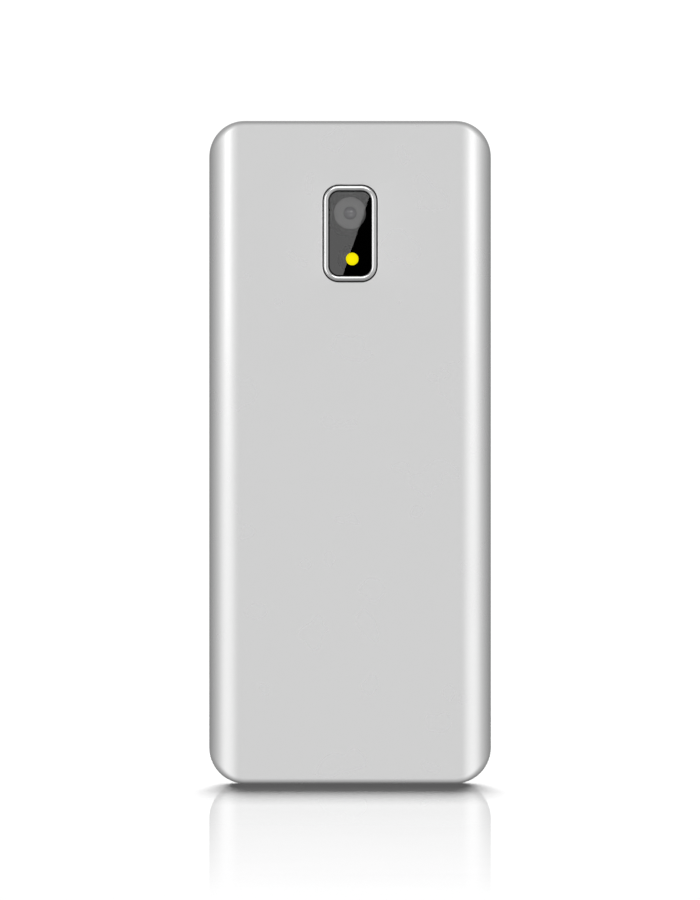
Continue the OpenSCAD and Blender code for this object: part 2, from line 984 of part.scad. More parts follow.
// Flat antenna on the carrier above the bottom end
module antenna() {
  antenna_t = 0.12;
  antenna_z = (block_end + bay_z0) / 2;
  antenna_h = bay_z0 - block_end - 3;
  color("darkorange")
    place()
      translate([0, 0, antenna_z])
        difference() {
          slab(frame_back, frame_back + antenna_t)
            square([2 * block_half - 3, antenna_h], center = true);
          translate([-4, 0, antenna_h / 6])
            slab(frame_back - cut, frame_back + cut)
              square([2 * block_half - 3, 0.8], center = true);
          translate([4, 0, -antenna_h / 6])
            slab(frame_back - cut, frame_back + cut)
              square([2 * block_half - 3, 0.8], center = true);
        }
}

// Can of the vibration motor
module vibration_motor() {
  color("lightgray")
    place()
      translate([motor_x, motor_d, motor_z0])
        difference() {
          union() {
            cylinder(h = motor_len, r = motor_r);
            block(-motor_r, motor_r, board_back - motor_d, -motor_r * 0.4, 1.5, motor_len - 1.5);
          }
          translate([0, 0, motor_len / 2])
            cylinder(h = motor_len, r = shaft_r + 0.05);
        }
}

// Half-round weight on the motor's shaft
module vibration_weight() {
  weight_z = motor_z0 + motor_len + weight_gap;
  color("gray")
    place()
      translate([motor_x, motor_d, 0]) {
        translate([0, 0, motor_z0 + motor_len / 2 + 0.1])
          cylinder(h = weight_z + weight_len - motor_z0 - motor_len / 2 - 0.1, r = shaft_r);
        intersection() {
          translate([0, 0, weight_z])
            cylinder(h = weight_len, r = weight_r);
          block(
            -weight_r - cut, weight_r + cut,
            -0.5, weight_r + cut,
            weight_z - cut, weight_z + weight_len + cut
          );
        }
      }
}

// Card socket, open at its lower end
module card_socket(w, h) {
  difference() {
    slab(board_back, board_back + socket_t)
      square([w, h], center = true);
    translate([0, 0, -cut])
      slab(board_back + 0.4, board_back + 0.4 + 0.8)
        square([w - 2, h], center = true);
    slab(board_back + 1, board_back + socket_t + cut)
      square([w - 5, h - 5], center = true);
  }
}

module sim_socket_1() {
  color("lightgray")
    place()
      translate([-sim_x, 0, sim_z])
        card_socket(sim_w, sim_h);
}

module sim_socket_2() {
  color("lightgray")
    place()
      translate([sim_x, 0, sim_z])
        card_socket(sim_w, sim_h);
}

module memory_card_socket() {
  color("lightgray")
    place()
      translate([0, 0, card_z])
        card_socket(card_w, card_h);
}

// Body of the battery connector on the board
module battery_connector() {
  color("black")
    place()
      difference() {
        block(
          -connector_w / 2, connector_w / 2,
          board_back, board_back + connector_t,
          bay_z1 + 0.1, bay_z1 + connector_h
        );
        for (i = [-1:1])
          block(
            i * pad_pitch - 0.6, i * pad_pitch + 0.6,
            contact_d - 1.1, contact_d + 1.1,
            bay_z1 - cut, bay_z1 + 2
          );
      }
}

// Three springs that reach the battery's contacts
module battery_springs() {
  color("gold")
    place()
      for (i = [-1:1])
        union() {
          block(
            i * pad_pitch - 0.45, i * pad_pitch + 0.45,
            contact_d - 0.7, contact_d + 0.7,
            bay_z1, bay_z1 + 2
          );
          translate([i * pad_pitch - 0.45, contact_d, bay_z1])
            rotate([0, 90, 0])
              cylinder(h = 0.9, r = spring_space - 0.08);
        }
}

// Battery with rounded long edges and seats for its contacts
module battery_pack() {
  color("gainsboro")
    place()
      difference() {
        translate([0, battery_d, 0])
          run_up(battery_z0, battery_z1)
            translate([0, battery_t / 2])
              rounded(battery_w, battery_t, battery_edge);
        for (i = [-1:1])
          block(
            i * pad_pitch - pad_w / 2, i * pad_pitch + pad_w / 2,
            contact_d - 1.2, contact_d + 1.2,
            battery_z1 - pad_t, battery_z1 + cut
          );
      }
}

// Three contacts in the end of the battery
module battery_contacts() {
  color("gold")
    place()
      for (i = [-1:1])
        block(
          i * pad_pitch - pad_w / 2 + 0.02, i * pad_pitch + pad_w / 2 - 0.02,
          contact_d - 1.18, contact_d + 1.18,
          battery_z1 - pad_t, battery_z1
        );
}

// Four screws that hold the inner frame to the bosses
module frame_screws() {
  color("gray")
    place()
      for (x = [-1, 1], z = screw_z)
        difference() {
          union() {
            pin(x * screw_x, z, floor_back, floor_back + screw_head_h, screw_head_r);
            pin(x * screw_x, z, floor_back - screw_len, floor_back + eps, screw_r);
          }
          for (a = [0, 90])
            translate([x * screw_x, floor_back + screw_head_h, z])
              rotate([0, a, 0])
                cube([1.3, 0.7, 0.3], center = true);
        }
}

// Back shell with the camera cut-out and its side tabs
module back_cover() {
  color("silver")
    place()
      difference() {
        union() {
          difference() {
            cover_outside();
            cover_inside();
          }
          cover_tabs();
        }
        translate([0, 0, ring_z])
          slab(cover_in - cut, body_d + cut)
            rounded(ring_w + 2 * ring_gap, ring_h + 2 * ring_gap, ring_corner + ring_gap);
      }
}

module cover_outside() {
  intersection() {
    translate([0, parting_d, body_h / 2])
      pillow(body_w, body_h, corner_r, roll_r, end_r);
    run_up(-cut, body_h + cut)
      cover_section(half_w, body_d, roll_r, parting_d - cut);
  }
}

module cover_inside() {
  intersection() {
    translate([0, 0, body_h / 2])
      slab(parting_d - cut, cover_in + cut)
        rounded(body_w - 2 * cover_wall, body_h - 2 * cover_wall, corner_r - cover_wall);
    run_up(-cut, body_h + cut)
      cover_section(half_w - cover_wall, cover_in, roll_r - cover_wall, parting_d - 2 * cut);
  }
}

// Tabs along both sides, beaded near their ends
module cover_tabs() {
  for (s = [-1, 1], z = tab_z)
    intersection() {
      union() {
        block(
          s > 0 ? tab_in : -tab_out, s > 0 ? tab_out : -tab_in,
          tab_d, cover_in,
          z - tab_len / 2, z + tab_len / 2
        );
        translate([s * tab_out, tab_d + 0.6, z - tab_len / 2 + 0.5])
          cylinder(h = tab_len - 1, r = bead_r);
      }
      run_up(0, body_h)
        cover_section(half_w - cover_wall / 2, cover_in + cover_wall / 2, roll_r - cover_wall / 2, 0);
    }
}

front_housing();
display_window();
lcd_panel();
lcd_backlight();
lcd_flex();
earpiece_mesh();
speaker();
for (k = KEYS)
  key(k);
navigation_ring();
navigation_rocker();
ok_key();
keypad_mat();
dome_sheet();
main_board();
baseband_shield();
radio_shield();
usb_socket();
usb_tongue();
audio_jack();
microphone();
microphone_boot();
camera_module();
camera_lens();
camera_gasket();
camera_ring();
camera_window();
flash_led();
flash_lens();
rear_frame();
antenna();
vibration_motor();
vibration_weight();
sim_socket_1();
sim_socket_2();
memory_card_socket();
battery_connector();
battery_springs();
battery_pack();
battery_contacts();
frame_screws();
back_cover();
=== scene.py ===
import json
import math

import bmesh
import bpy
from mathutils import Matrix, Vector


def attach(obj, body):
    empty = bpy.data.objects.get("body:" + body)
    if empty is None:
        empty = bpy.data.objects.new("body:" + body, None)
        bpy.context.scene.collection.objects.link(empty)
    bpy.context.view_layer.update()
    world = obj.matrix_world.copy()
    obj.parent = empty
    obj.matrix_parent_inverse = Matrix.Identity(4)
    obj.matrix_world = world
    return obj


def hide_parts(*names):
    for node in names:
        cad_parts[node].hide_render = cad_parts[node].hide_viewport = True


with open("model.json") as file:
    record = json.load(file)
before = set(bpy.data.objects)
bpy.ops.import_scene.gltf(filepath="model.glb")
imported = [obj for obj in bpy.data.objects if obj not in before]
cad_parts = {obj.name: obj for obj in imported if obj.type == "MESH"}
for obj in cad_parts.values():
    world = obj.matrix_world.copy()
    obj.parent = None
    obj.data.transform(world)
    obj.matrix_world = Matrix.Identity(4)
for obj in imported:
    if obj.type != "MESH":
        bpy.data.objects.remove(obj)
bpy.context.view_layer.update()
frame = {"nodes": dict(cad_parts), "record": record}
NODES = frame["nodes"]
SCENE = bpy.context.scene
MM = 0.001

# Sizes of the solids, in millimetres; a depth counts from the front of the housing

FRONT_Y = -7.05
BODY_W, BODY_H, BODY_D = 50.5, 118.5, 14.2
CORNER_R, ROLL_R, END_R = 6.4, 5.45, 0.95
COVER_WALL = 1.2
PARTING_D = BODY_D - ROLL_R
COVER_IN = BODY_D - COVER_WALL
TAB_IN, TAB_OUT, TAB_D, TAB_LEN = 22.55, 23.65, 7.5, 6.0
TAB_TIP, TAB_EDGE, TAB_ROOT_OUT, TAB_ROOT_IN = 0.3, 0.15, 11.0, 12.4
TAB_Z = (26.0, 59.25, 92.5)
BEAD_R, BEAD_D, BEAD_LEN, BEAD_SINK = 0.25, TAB_D + 0.6, TAB_LEN - 1, 0.1
KEY_PROUD, KEY_EDGE, KEY_CORNER, KEY_REST = 0.45, 0.3, 1.6, 1.55
FLANGE, FLANGE_T = 0.45, 0.6
PLUNGER_R, PLUNGER_END, PLUNGER_EDGE = 1.1, 3.37, 0.15
DIGIT_W, DIGIT_H, DIGIT_STEP = 13.4, 5.2, 15.0
DIGIT_ROWS = (33.0, 26.4, 19.8, 13.2)
SIDE_W, SIDE_H, SIDE_X = 10.8, 5.6, 16.3
SIDE_ROWS = (47.4, 40.4)
NAV_Z, NAV_W, NAV_H, NAV_CORNER = 43.9, 17.2, 12.6, 4.0
NAV_REST, NAV_BACK, NAV_GAP = 1.95, 2.4, 0.25
NUB_X, NUB_R, NUB_SINK, RIDGE_Z, RIDGE_R, RIDGE_LEN, RIDGE_SINK = 7.5, 0.7, 0.1, 5.0, 0.28, 1.5, 0.05
OK_W, OK_H, OK_CORNER, OK_REST, OK_FLANGE_T = 7.6, 5.6, 2.2, 2.7, 0.35
VIEW_Z, VIEW_W, VIEW_H = 81.325, 37.4, 49.35
RING_Z, RING_W, RING_H, RING_CORNER, RING_BAND = 98.35, 9.5, 17.1, 2.75, 0.95
GLASS_W, GLASS_H = RING_W - 2 * RING_BAND, RING_H - 2 * RING_BAND
GLASS_CORNER, GLASS_TOP = RING_CORNER - RING_BAND, 14.05
LENS_Z, BARREL_R = 102.0, 2.85
LENS_R, LENS_BACK, LENS_TOP, LENS_CURVE = 1.17, 12.6, 12.9, 3.0
FLASH_X, FLASH_Z = -0.38, 93.8
FILM_FRONT = 3.9
EAR_Z, EAR_W, EAR_H, EAR_CORNER = 112.6, 10.0, 2.2, 0.9
MIC_X, MIC_Z, MIC_PORT_R = 8.0, 5.4, 0.8
BATTERY_LOW, BATTERY_HIGH = 21.6, 74.6

# Sizes that only the scene has, in millimetres

RING_GAP, BRIM = 0.15, 0.2
INNER_EDGE_R, FLAT_STEP, RIM_BAND = 0.4, 0.3, 0.12
LIP_ROOT, LIP_OUT, LIP_IN, LIP_REACH = 1.1, 1.38, 1.7, 0.3
LIP_RISES = {"outer_root": 0.2, "rim": 0.02, "inner": 0.55, "inner_root": 1.15}
INK, INK_DEPTH = 0.02, 0.14
TOP_D = INK - KEY_PROUD
INK_BACK = TOP_D + INK_DEPTH
KEY_CROWN, NAV_CROWN, LEAST_R, MIDDLE = 0.12, 0.1, 0.015, 0.03
PRINT_EDGE, PANE_SOFT, FACE_NEAR = 0.02, 1.6, 0.03
# The second of these is the width of the camera glass's edge band that mirrors nothing, a painted shade line
# along the ring.
FLASH_HOLE_R, PAINTED_SHADE_EDGE, VIEW_BORDER, VIEW_CORNER = 1.13, 0.15, 0.4, 0.5


# Node graphs

NOISE_LOW, NOISE_HIGH = 0.3, 0.7


class Graph:
    """Adds nodes to one tree. A value given to an input is a socket, which is linked, or a plain value."""

    def __init__(self, tree):
        self.tree = tree
        tree.nodes.clear()

    def add(self, kind, inputs=None, **props):
        node = self.tree.nodes.new("ShaderNode" + kind)
        for key, value in props.items():
            setattr(node, key, value)
        for key, value in (inputs or {}).items():
            self.put(node.inputs[key], value)
        return node

    def put(self, socket, value):
        if isinstance(value, bpy.types.NodeSocket):
            self.tree.links.new(value, socket)
        else:
            socket.default_value = value

    def math(self, operation, *values):
        return self.add("Math", dict(enumerate(values)), operation=operation).outputs[0]

    def vector(self, operation, *values):
        node = self.add("VectorMath", dict(enumerate(values)), operation=operation)
        return node.outputs["Value"] if operation == "LENGTH" else node.outputs[0]

    def parts(self, vector):
        return self.add("SeparateXYZ", {0: vector}).outputs

    def joined(self, x, y, z):
        return self.add("CombineXYZ", {0: x, 1: y, 2: z}).outputs[0]

    def scaled(self, value, low, high, to_low, to_high):
        inputs = {"Value": value, "From Min": low, "From Max": high, "To Min": to_low, "To Max": to_high}
        return self.add("MapRange", inputs).outputs[0]

    def between(self, noise, low, high):
        """A value that follows a noise."""
        return self.scaled(noise, NOISE_LOW, NOISE_HIGH, low, high)

    def ramp(self, value, stops):
        node = self.add("ValToRGB", {"Fac": value})
        ends = node.color_ramp.elements
        while len(ends) < len(stops):
            ends.new(1.0)
        for end, (place, tone) in zip(ends, stops):
            end.position = place
            end.color = (*tone, 1) if isinstance(tone, tuple) else (tone, tone, tone, 1)
        return node.outputs["Color"]

    def tones(self, noise, dark, light):
        """A colour that follows a noise."""
        return self.ramp(noise, [(NOISE_LOW, dark), (NOISE_HIGH, light)])

    def mix(self, fac, a, b):
        node = self.add("Mix", data_type="RGBA")
        for socket, value in ((node.inputs[0], fac), (node.inputs[6], a), (node.inputs[7], b)):
            self.put(socket, (*value, 1) if isinstance(value, tuple) else value)
        return node.outputs[2]

    def blend(self, fac, a, b):
        return self.add("MixShader", {0: fac, 1: a.outputs[0], 2: b.outputs[0]})

    def millimetres(self):
        """Place on the piece, in millimetres."""
        place = self.add("TexCoord").outputs["Object"]
        return self.vector("MULTIPLY", place, (1000, 1000, 1000))

    def noise(self, place, scale, detail=3.0, rough=0.5):
        inputs = {"Vector": place, "Scale": scale, "Detail": detail, "Roughness": rough}
        return self.add("TexNoise", inputs).outputs[0]

    def stretched(self, place, x, y, z):
        return self.vector("MULTIPLY", place, (x, y, z))

    def cells(self, place, scale, output="Color"):
        return self.add("TexVoronoi", {"Vector": place, "Scale": scale}).outputs[output]

    def stripes(self, along, pitch, share):
        """One on lines of the given pitch, which cover a share of it."""
        return self.math("LESS_THAN", self.math("FRACT", self.math("DIVIDE", along, pitch)), share)

    def weighed(self, a, a_share, b, b_share):
        """Two values, each with its share."""
        return self.math("ADD", self.math("MULTIPLY", a, a_share), self.math("MULTIPLY", b, b_share))

    def inside(self, reach, radius, soft):
        """One up to a radius, then zero, at once or over a soft width."""
        if soft:
            return self.scaled(reach, radius, radius + soft, 1.0, 0.0)
        return self.math("LESS_THAN", reach, radius)

    def reach(self, place, x, z):
        """Distance from a point, across and up."""
        off = self.vector("SUBTRACT", place, (x, 0, z))
        return self.vector("LENGTH", self.stretched(off, 1, 0, 1))

    def spot(self, place, x, z, radius, soft=0.0):
        """One inside a round spot."""
        return self.inside(self.reach(place, x, z), radius, soft)

    def panel(self, place, z, w, h, r, soft=0.0):
        """One inside a rounded rectangle in the middle of the phone at the given height."""
        off = self.parts(self.vector("ABSOLUTE", self.vector("SUBTRACT", place, (0, 0, z))))
        x = self.math("MAXIMUM", self.math("SUBTRACT", off["X"], w / 2 - r), 0.0)
        y = self.math("MAXIMUM", self.math("SUBTRACT", off["Z"], h / 2 - r), 0.0)
        return self.inside(self.vector("LENGTH", self.joined(x, 0.0, y)), r, soft)

    def bump(self, height, depth_mm, strength):
        inputs = {"Height": height, "Strength": strength, "Distance": depth_mm * MM}
        return self.add("Bump", inputs).outputs[0]

    def surface(self, shader):
        out = self.add("OutputMaterial")
        self.put(out.inputs["Surface"], shader.outputs[0])

    def principled(self, inputs):
        self.surface(self.add("BsdfPrincipled", inputs))

    def glowing(self, tone, strength):
        return self.add("Emission", {"Color": (tone, tone, tone, 1), "Strength": strength})


def material(name):
    made = bpy.data.materials.new(name)
    made.use_nodes = True
    return made, Graph(made.node_tree)


# Camera at the photograph's angle

SENSOR_MM, FOCAL_MM = 36, 356.5
CAMERA_AT, CAMERA_TURN = (0.00001, 1.6, 0.05963), (90, 0, 180)

camera_data = bpy.data.cameras.new("photo_camera")
camera_data.sensor_width = SENSOR_MM
camera_data.lens = FOCAL_MM
camera_data.dof.use_dof = False
camera_data.clip_start = 0.1
camera_data.clip_end = 20
camera = bpy.data.objects.new("photo_camera", camera_data)
camera.location = CAMERA_AT
camera.rotation_euler = [math.radians(a) for a in CAMERA_TURN]
SCENE.collection.objects.link(camera)
SCENE.camera = camera
SCENE.view_settings.view_transform = "Standard"
SCENE.view_settings.look = "None"

# Studio light all around: tone by the angle in degrees from the camera's side, across, up and down

ACROSS = ((0, 0.63), (11, 0.68), (19, 0.765), (26, 0.84), (38, 0.90), (49, 0.925), (59, 0.89), (72, 0.765),
          (87, 0.56), (110, 0.40), (144, 0.245), (180, 0.23))
UPRIGHT = ((0, 0.63), (14, 0.62), (30, 0.56), (54, 0.44), (78, 0.34), (105, 0.31), (130, 0.40), (155, 0.48),
           (180, 0.48))
LOWER = ((0, 0.63), (11, 0.625), (21, 0.59), (33, 0.505), (53, 0.425), (80, 0.35), (110, 0.17), (180, 0.15))
STUDIO, WHITE, TINY = 1.2, 1.1, 1e-5
# A white patch behind the phone, which the floor mirrors: from this angle on, and above this level
PATCH, PATCH_LOW = 172, -0.004

world = bpy.data.worlds.new("studio")
world.use_nodes = True
SCENE.world = world
g = Graph(world.node_tree)
split = g.parts(g.add("TexCoord").outputs["Generated"])
turn = g.math("DIVIDE", g.math("ARCCOSINE", split["Y"]), math.pi)
sideways = g.math("MULTIPLY", split["X"], split["X"])
upwards = g.math("MULTIPLY", split["Z"], split["Z"])
share = g.math("DIVIDE", sideways, g.math("ADD", g.math("ADD", sideways, upwards), TINY))
across, upright, lower = (
    g.ramp(turn, [(a / 180, t) for a, t in tones]) for tones in (ACROSS, UPRIGHT, LOWER))
upright = g.mix(g.math("LESS_THAN", split["Z"], 0.0), upright, lower)
ahead = g.math("MULTIPLY", g.math("GREATER_THAN", turn, PATCH / 180),
               g.math("GREATER_THAN", split["Z"], PATCH_LOW))
tone = g.mix(ahead, g.mix(share, upright, across), (1.0, 1.0, 1.0))
soft = g.add("Background", {"Color": tone, "Strength": STUDIO})
white = g.add("Background", {"Color": (1, 1, 1, 1), "Strength": WHITE})
around = g.blend(g.add("LightPath").outputs["Is Camera Ray"], soft, white)
g.add("OutputWorld", {"Surface": around.outputs[0]})


def stage_piece(name, faces, made, unseen):
    """Flat faces of the stage, kept out of some kinds of rays."""
    points, shares = [], []
    for face in faces:
        shares.append(tuple(range(len(points), len(points) + len(face))))
        points += face
    mesh = bpy.data.meshes.new(name)
    mesh.from_pydata(points, [], shares)
    mesh.materials.append(made)
    piece = bpy.data.objects.new(name, mesh)
    SCENE.collection.objects.link(piece)
    for kind in unseen:
        setattr(piece, "visible_" + kind, False)
    return piece


def square(half):
    return [(-half, -half), (half, -half), (half, half), (-half, half)]


def group(name, pieces):
    made = bpy.data.collections.new(name)
    for piece in pieces:
        made.objects.link(piece)
    return made


def area_light(name, place, target, size, power, only):
    """A soft rectangle of light on a few pieces only."""
    data = bpy.data.lights.new(name, "AREA")
    data.shape = "RECTANGLE"
    data.size, data.size_y = size
    data.energy = power
    lamp = bpy.data.objects.new(name, data)
    lamp.location = place
    aim = [b - a for a, b in zip(place, target)]
    lamp.rotation_mode = "QUATERNION"
    lamp.rotation_quaternion = Vector(aim).to_track_quat("-Z", "Y")
    SCENE.collection.objects.link(lamp)
    lamp.visible_camera = False
    lamp.light_linking.receiver_collection = group(name + "_lit", only)
    return lamp


# Pale floor, glossy in front of the phone and plain white far away, in metres

FLOOR_HALF, FLOOR_DARK, FLOOR_LIGHT = 3, 0.149, 0.151
FLOOR_IOR, FLOOR_ROUGH = 1.6, 0.03
GLOSS = ((0.0, 0.0), (0.06, 0.02), (0.11, 0.13), (0.165, 0.33), (0.22, 0.46), (0.3, 0.49), (1.0, 0.0))
GLOSS_REACH = 0.42
FADE_NEAR, FADE_FAR, FADE_LEAST = 0.35, 0.9, 0.02
made, g = material("floor")
spread = g.add("TexCoord").outputs["Object"]
near = g.ramp(g.math("DIVIDE", g.parts(spread)["Y"], GLOSS_REACH), GLOSS)
gloss = g.math("MULTIPLY", near, g.add("Fresnel", {"IOR": FLOOR_IOR}).outputs[0])
dull = g.add("BsdfDiffuse", {"Color": g.tones(g.noise(spread, scale=40.0), FLOOR_DARK, FLOOR_LIGHT)})
shine = g.add("BsdfGlossy", {"Color": (1, 1, 1, 1), "Roughness": FLOOR_ROUGH})
far = g.scaled(g.vector("LENGTH", spread), FADE_NEAR, FADE_FAR, FADE_LEAST, 1.0)
g.surface(g.blend(far, g.blend(gloss, dull, shine), g.glowing(1, WHITE)))
floor = stage_piece("floor", [[(x, y, 0) for x, y in square(FLOOR_HALF)]], made, ("glossy", "diffuse"))

# Flags inside the phone, a little narrower and with rising lower corners, for the floor's soft shadow

FLAG_HALF, FLAG_CORNER, FLAG_RISE, FLAG_LOW, FLAG_STEPS = 22.9, 11.0, 36.0, 0.02, 18
FLAG_Y = (-4.0, 0.0)
FLOOR_LAMP_AT, FLOOR_LAMP_SIZE, FLOOR_LAMP_POWER = (0, -5.0, 8.66), (0.95, 4.0), 7600
flag_points = [(-FLAG_HALF, BODY_H), (-FLAG_HALF, FLAG_RISE)]
for i in range(FLAG_STEPS + 1):
    a = math.radians(180 + 90 * i / FLAG_STEPS)
    flag_points.append((-FLAG_HALF + FLAG_CORNER * (1 + math.cos(a)), FLAG_RISE * (1 + math.sin(a))))
flag_points += [(-x, z) for x, z in reversed(flag_points)]
flag_faces = [[(x * MM, y * MM, max(z, FLAG_LOW) * MM) for x, z in flag_points] for y in FLAG_Y]
flag = stage_piece("floor_flag", flag_faces, made, ("camera", "glossy", "diffuse", "transmission"))
lamp = area_light("floor_light", FLOOR_LAMP_AT, (0, 0, 0), FLOOR_LAMP_SIZE, FLOOR_LAMP_POWER, [floor])
lamp.light_linking.blocker_collection = group("floor_light_shadow", [flag])

# Cards behind the camera that the camera glass mirrors: a dark one, and before it a bright one with a slanted
# edge and a round notch over the flash, in metres

CARD_Y, CARD_Z, CARD_HALF, CARD_GAP, CARD_GLOW = 2.0, 0.147, 0.045, 0.001, 2.45
SLANT_LOW, SLANT_HIGH, SLANT_EDGE = (0.0066, 0.119), (-0.0117, 0.173), 0.03
NOTCH_STEPS = 12
CARD_UNSEEN = ("camera", "diffuse", "shadow", "transmission")


def mirrored_flash(y):
    """Where the card of that depth mirrors into the flash's hole: middle and radius."""
    glass_y = (FRONT_Y + GLASS_TOP) * MM
    reach = (y - glass_y) / (camera.location.y - glass_y)
    x, z = FLASH_X * MM, FLASH_Z * MM
    x, z = x + (x - camera.location.x) * reach, z + (z - camera.location.z) * reach
    return x, z, FLASH_HOLE_R * MM * (1 + reach)


def slanted_card(y):
    """Outline of the bright card."""
    mid_x, mid_z, r = mirrored_flash(y)
    slant = math.atan2(SLANT_LOW[0] - SLANT_HIGH[0], SLANT_HIGH[1] - SLANT_LOW[1])
    off = (SLANT_LOW[0] - mid_x) * math.cos(slant) + (SLANT_LOW[1] - mid_z) * math.sin(slant)
    half = math.acos(off / r)
    points = [SLANT_LOW, (SLANT_EDGE, SLANT_LOW[1]), (SLANT_EDGE, SLANT_HIGH[1]), SLANT_HIGH]
    for i in range(NOTCH_STEPS + 1):
        a = slant + half * (1 - 2 * i / NOTCH_STEPS)
        points.append((mid_x + r * math.cos(a), mid_z + r * math.sin(a)))
    return [(x, y, z) for x, z in points]


made, g = material("card_dark")
g.surface(g.glowing(0, 0.0))
stage_piece("card_dark", [[(x, CARD_Y, CARD_Z + z) for x, z in square(CARD_HALF)]], made, CARD_UNSEEN)
made, g = material("card_bright")
g.surface(g.glowing(1, CARD_GLOW))
stage_piece("card_bright", [slanted_card(CARD_Y - CARD_GAP)], made, CARD_UNSEEN)


# Finishes; the scale of a noise or of cells is how many there are to a millimetre

def silver_paint():
    """Fine metal flakes under a satin coat."""
    made, g = material("silver_paint")
    place = g.millimetres()
    flake = g.add("SeparateColor", {0: g.cells(place, scale=9.0)}).outputs[0]
    haze = g.noise(place, scale=0.12, detail=2.0)
    ripple = g.noise(place, scale=1.6, detail=2.0)
    g.principled({
        "Base Color": g.ramp(flake, [(0.0, (0.815, 0.815, 0.815)), (1.0, (0.845, 0.845, 0.845))]),
        "Metallic": 1.0, "Roughness": g.between(haze, 0.25, 0.28),
        "Normal": g.bump(ripple, depth_mm=0.001, strength=0.2)})
    return made


def finish(name, dark, light, rough, grain, stretch=(1, 1, 1), metallic=0.0, blotch=0.3, ior=1.5, glow=0.0,
           sockets=None):
    """Two tones in soft blotches, roughness between two values, a grain of a given pitch and depth, and, if
    asked, a painted glow in its own colour.
    """
    made, g = material(name)
    place = g.millimetres()
    spread = g.noise(place, scale=blotch, detail=4.0)
    fine = g.noise(g.stretched(place, *stretch), scale=1.0 / grain[0], detail=2.0)
    both = g.weighed(spread, 0.6, fine, 0.4)
    colour = g.ramp(both, [(0.32, dark), (0.68, light)])
    inputs = {
        "Base Color": colour, "Metallic": metallic, "IOR": ior, "Roughness": g.between(both, *rough),
        "Normal": g.bump(fine, depth_mm=grain[1], strength=0.8)}
    # The glow makes a piece shine in its own colour though it is no lamp: painted light.
    if glow:
        inputs["Emission Color"] = colour
        inputs["Emission Strength"] = glow
    inputs.update(sockets or {})
    g.principled(inputs)
    return made


def worn_satin(name, dark, light, rough, metallic):
    """Satin moulding with fine spark grain, its edges rubbed paler and smoother."""
    made, g = material(name)
    place = g.millimetres()
    spread = g.noise(place, scale=0.35, detail=4.0)
    grain = g.cells(place, scale=14.0, output="Distance")
    colour = g.ramp(g.weighed(spread, 0.8, grain, 0.25), [(0.3, dark), (0.72, light)])
    edge = g.scaled(g.add("NewGeometry").outputs["Pointiness"], 0.51, 0.56, 0.0, 1.0)
    patchy = g.scaled(g.noise(place, scale=1.4), 0.35, 0.65, 0.1, 0.6)
    rubbed = g.math("MULTIPLY", edge, patchy)
    paler, smoother = tuple(min(1.0, c * 1.25) for c in light), 0.12
    g.principled({
        "Base Color": g.mix(rubbed, colour, paler), "Metallic": metallic,
        "Roughness": g.math("SUBTRACT", g.between(spread, *rough), g.math("MULTIPLY", rubbed, smoother)),
        "Normal": g.bump(grain, depth_mm=0.006, strength=0.5)})
    return made


def spun_metal():
    """Fine turning lines around the navigation ring's middle."""
    made, g = material("spun_metal")
    flatten, lines_out, lines_round = 1.3, 9.0, 1.2
    off = g.parts(g.vector("SUBTRACT", g.millimetres(), (0, 0, NAV_Z)))
    reach = g.vector("LENGTH", g.joined(off["X"], 0.0, g.math("MULTIPLY", off["Z"], flatten)))
    angle = g.math("ARCTAN2", off["Z"], off["X"])
    wound = g.joined(g.math("MULTIPLY", reach, lines_out), g.math("MULTIPLY", angle, lines_round), 0.0)
    lines = g.noise(wound, scale=1.0, detail=3.0)
    g.principled({
        "Base Color": g.tones(lines, (0.60, 0.61, 0.63), (0.74, 0.75, 0.77)), "Metallic": 1.0,
        "Roughness": g.between(lines, 0.2, 0.32), "Anisotropic": 0.4,
        "Normal": g.bump(lines, depth_mm=0.008, strength=0.5)})
    return made


def printed_glass(name, clear, mirrored, smear, tint, face):
    """A pane printed black from behind but for some clear places, which have soft edges on its outer face at
    the given depth."""
    made, g = material(name)
    place = g.millimetres()
    through = g.add("BsdfTransparent", {"Color": (*tint, 1)})
    ink = g.add("BsdfDiffuse", {"Color": g.tones(g.noise(place, scale=3.0), 0.0, 0.0008)})
    behind = g.math("SUBTRACT", g.parts(place)["Y"], FRONT_Y + face)
    outer = g.math("LESS_THAN", g.math("ABSOLUTE", behind), FACE_NEAR)
    seen = g.math("MAXIMUM", clear(g, place, 0.0), g.math("MULTIPLY", clear(g, place, PANE_SOFT), outer))
    under = g.blend(seen, ink, through)
    facing = g.math("SUBTRACT", 1.0, g.add("NewGeometry").outputs["Backfacing"])
    mirror = g.math("MULTIPLY", g.add("Fresnel", {"IOR": 1.5}).outputs[0], facing)
    mirror = g.math("MULTIPLY", mirror, mirrored(g, place))
    wiped = g.between(g.noise(g.stretched(place, 1, 1, 0.3), scale=0.7), *smear)
    shine = g.add("BsdfGlossy", {"Color": (1, 1, 1, 1), "Roughness": wiped})
    g.surface(g.blend(mirror, under, shine))
    return made


def lens_holes(g, place, soft):
    """Clear places before the camera's barrel and the flash."""
    flash = g.spot(place, FLASH_X, FLASH_Z, FLASH_HOLE_R, soft)
    return g.math("MAXIMUM", g.spot(place, 0, LENS_Z, BARREL_R + PRINT_EDGE, soft), flash)


def shine_inside_painted_shade_edge(g, place):
    """All but a thin band along the edge by the ring. That band mirrors nothing and so reads as a dark line:
    painted shade where the ring meets the glass.
    """
    less = 2 * PAINTED_SHADE_EDGE
    return g.panel(place, RING_Z, GLASS_W - less, GLASS_H - less, GLASS_CORNER - PAINTED_SHADE_EDGE)


def picture_area(g, place, soft):
    """Clear place before the display."""
    less = 2 * VIEW_BORDER
    return g.panel(place, VIEW_Z, VIEW_W - less, VIEW_H - less, VIEW_CORNER, soft)


def all_over(g, place):
    return 1.0


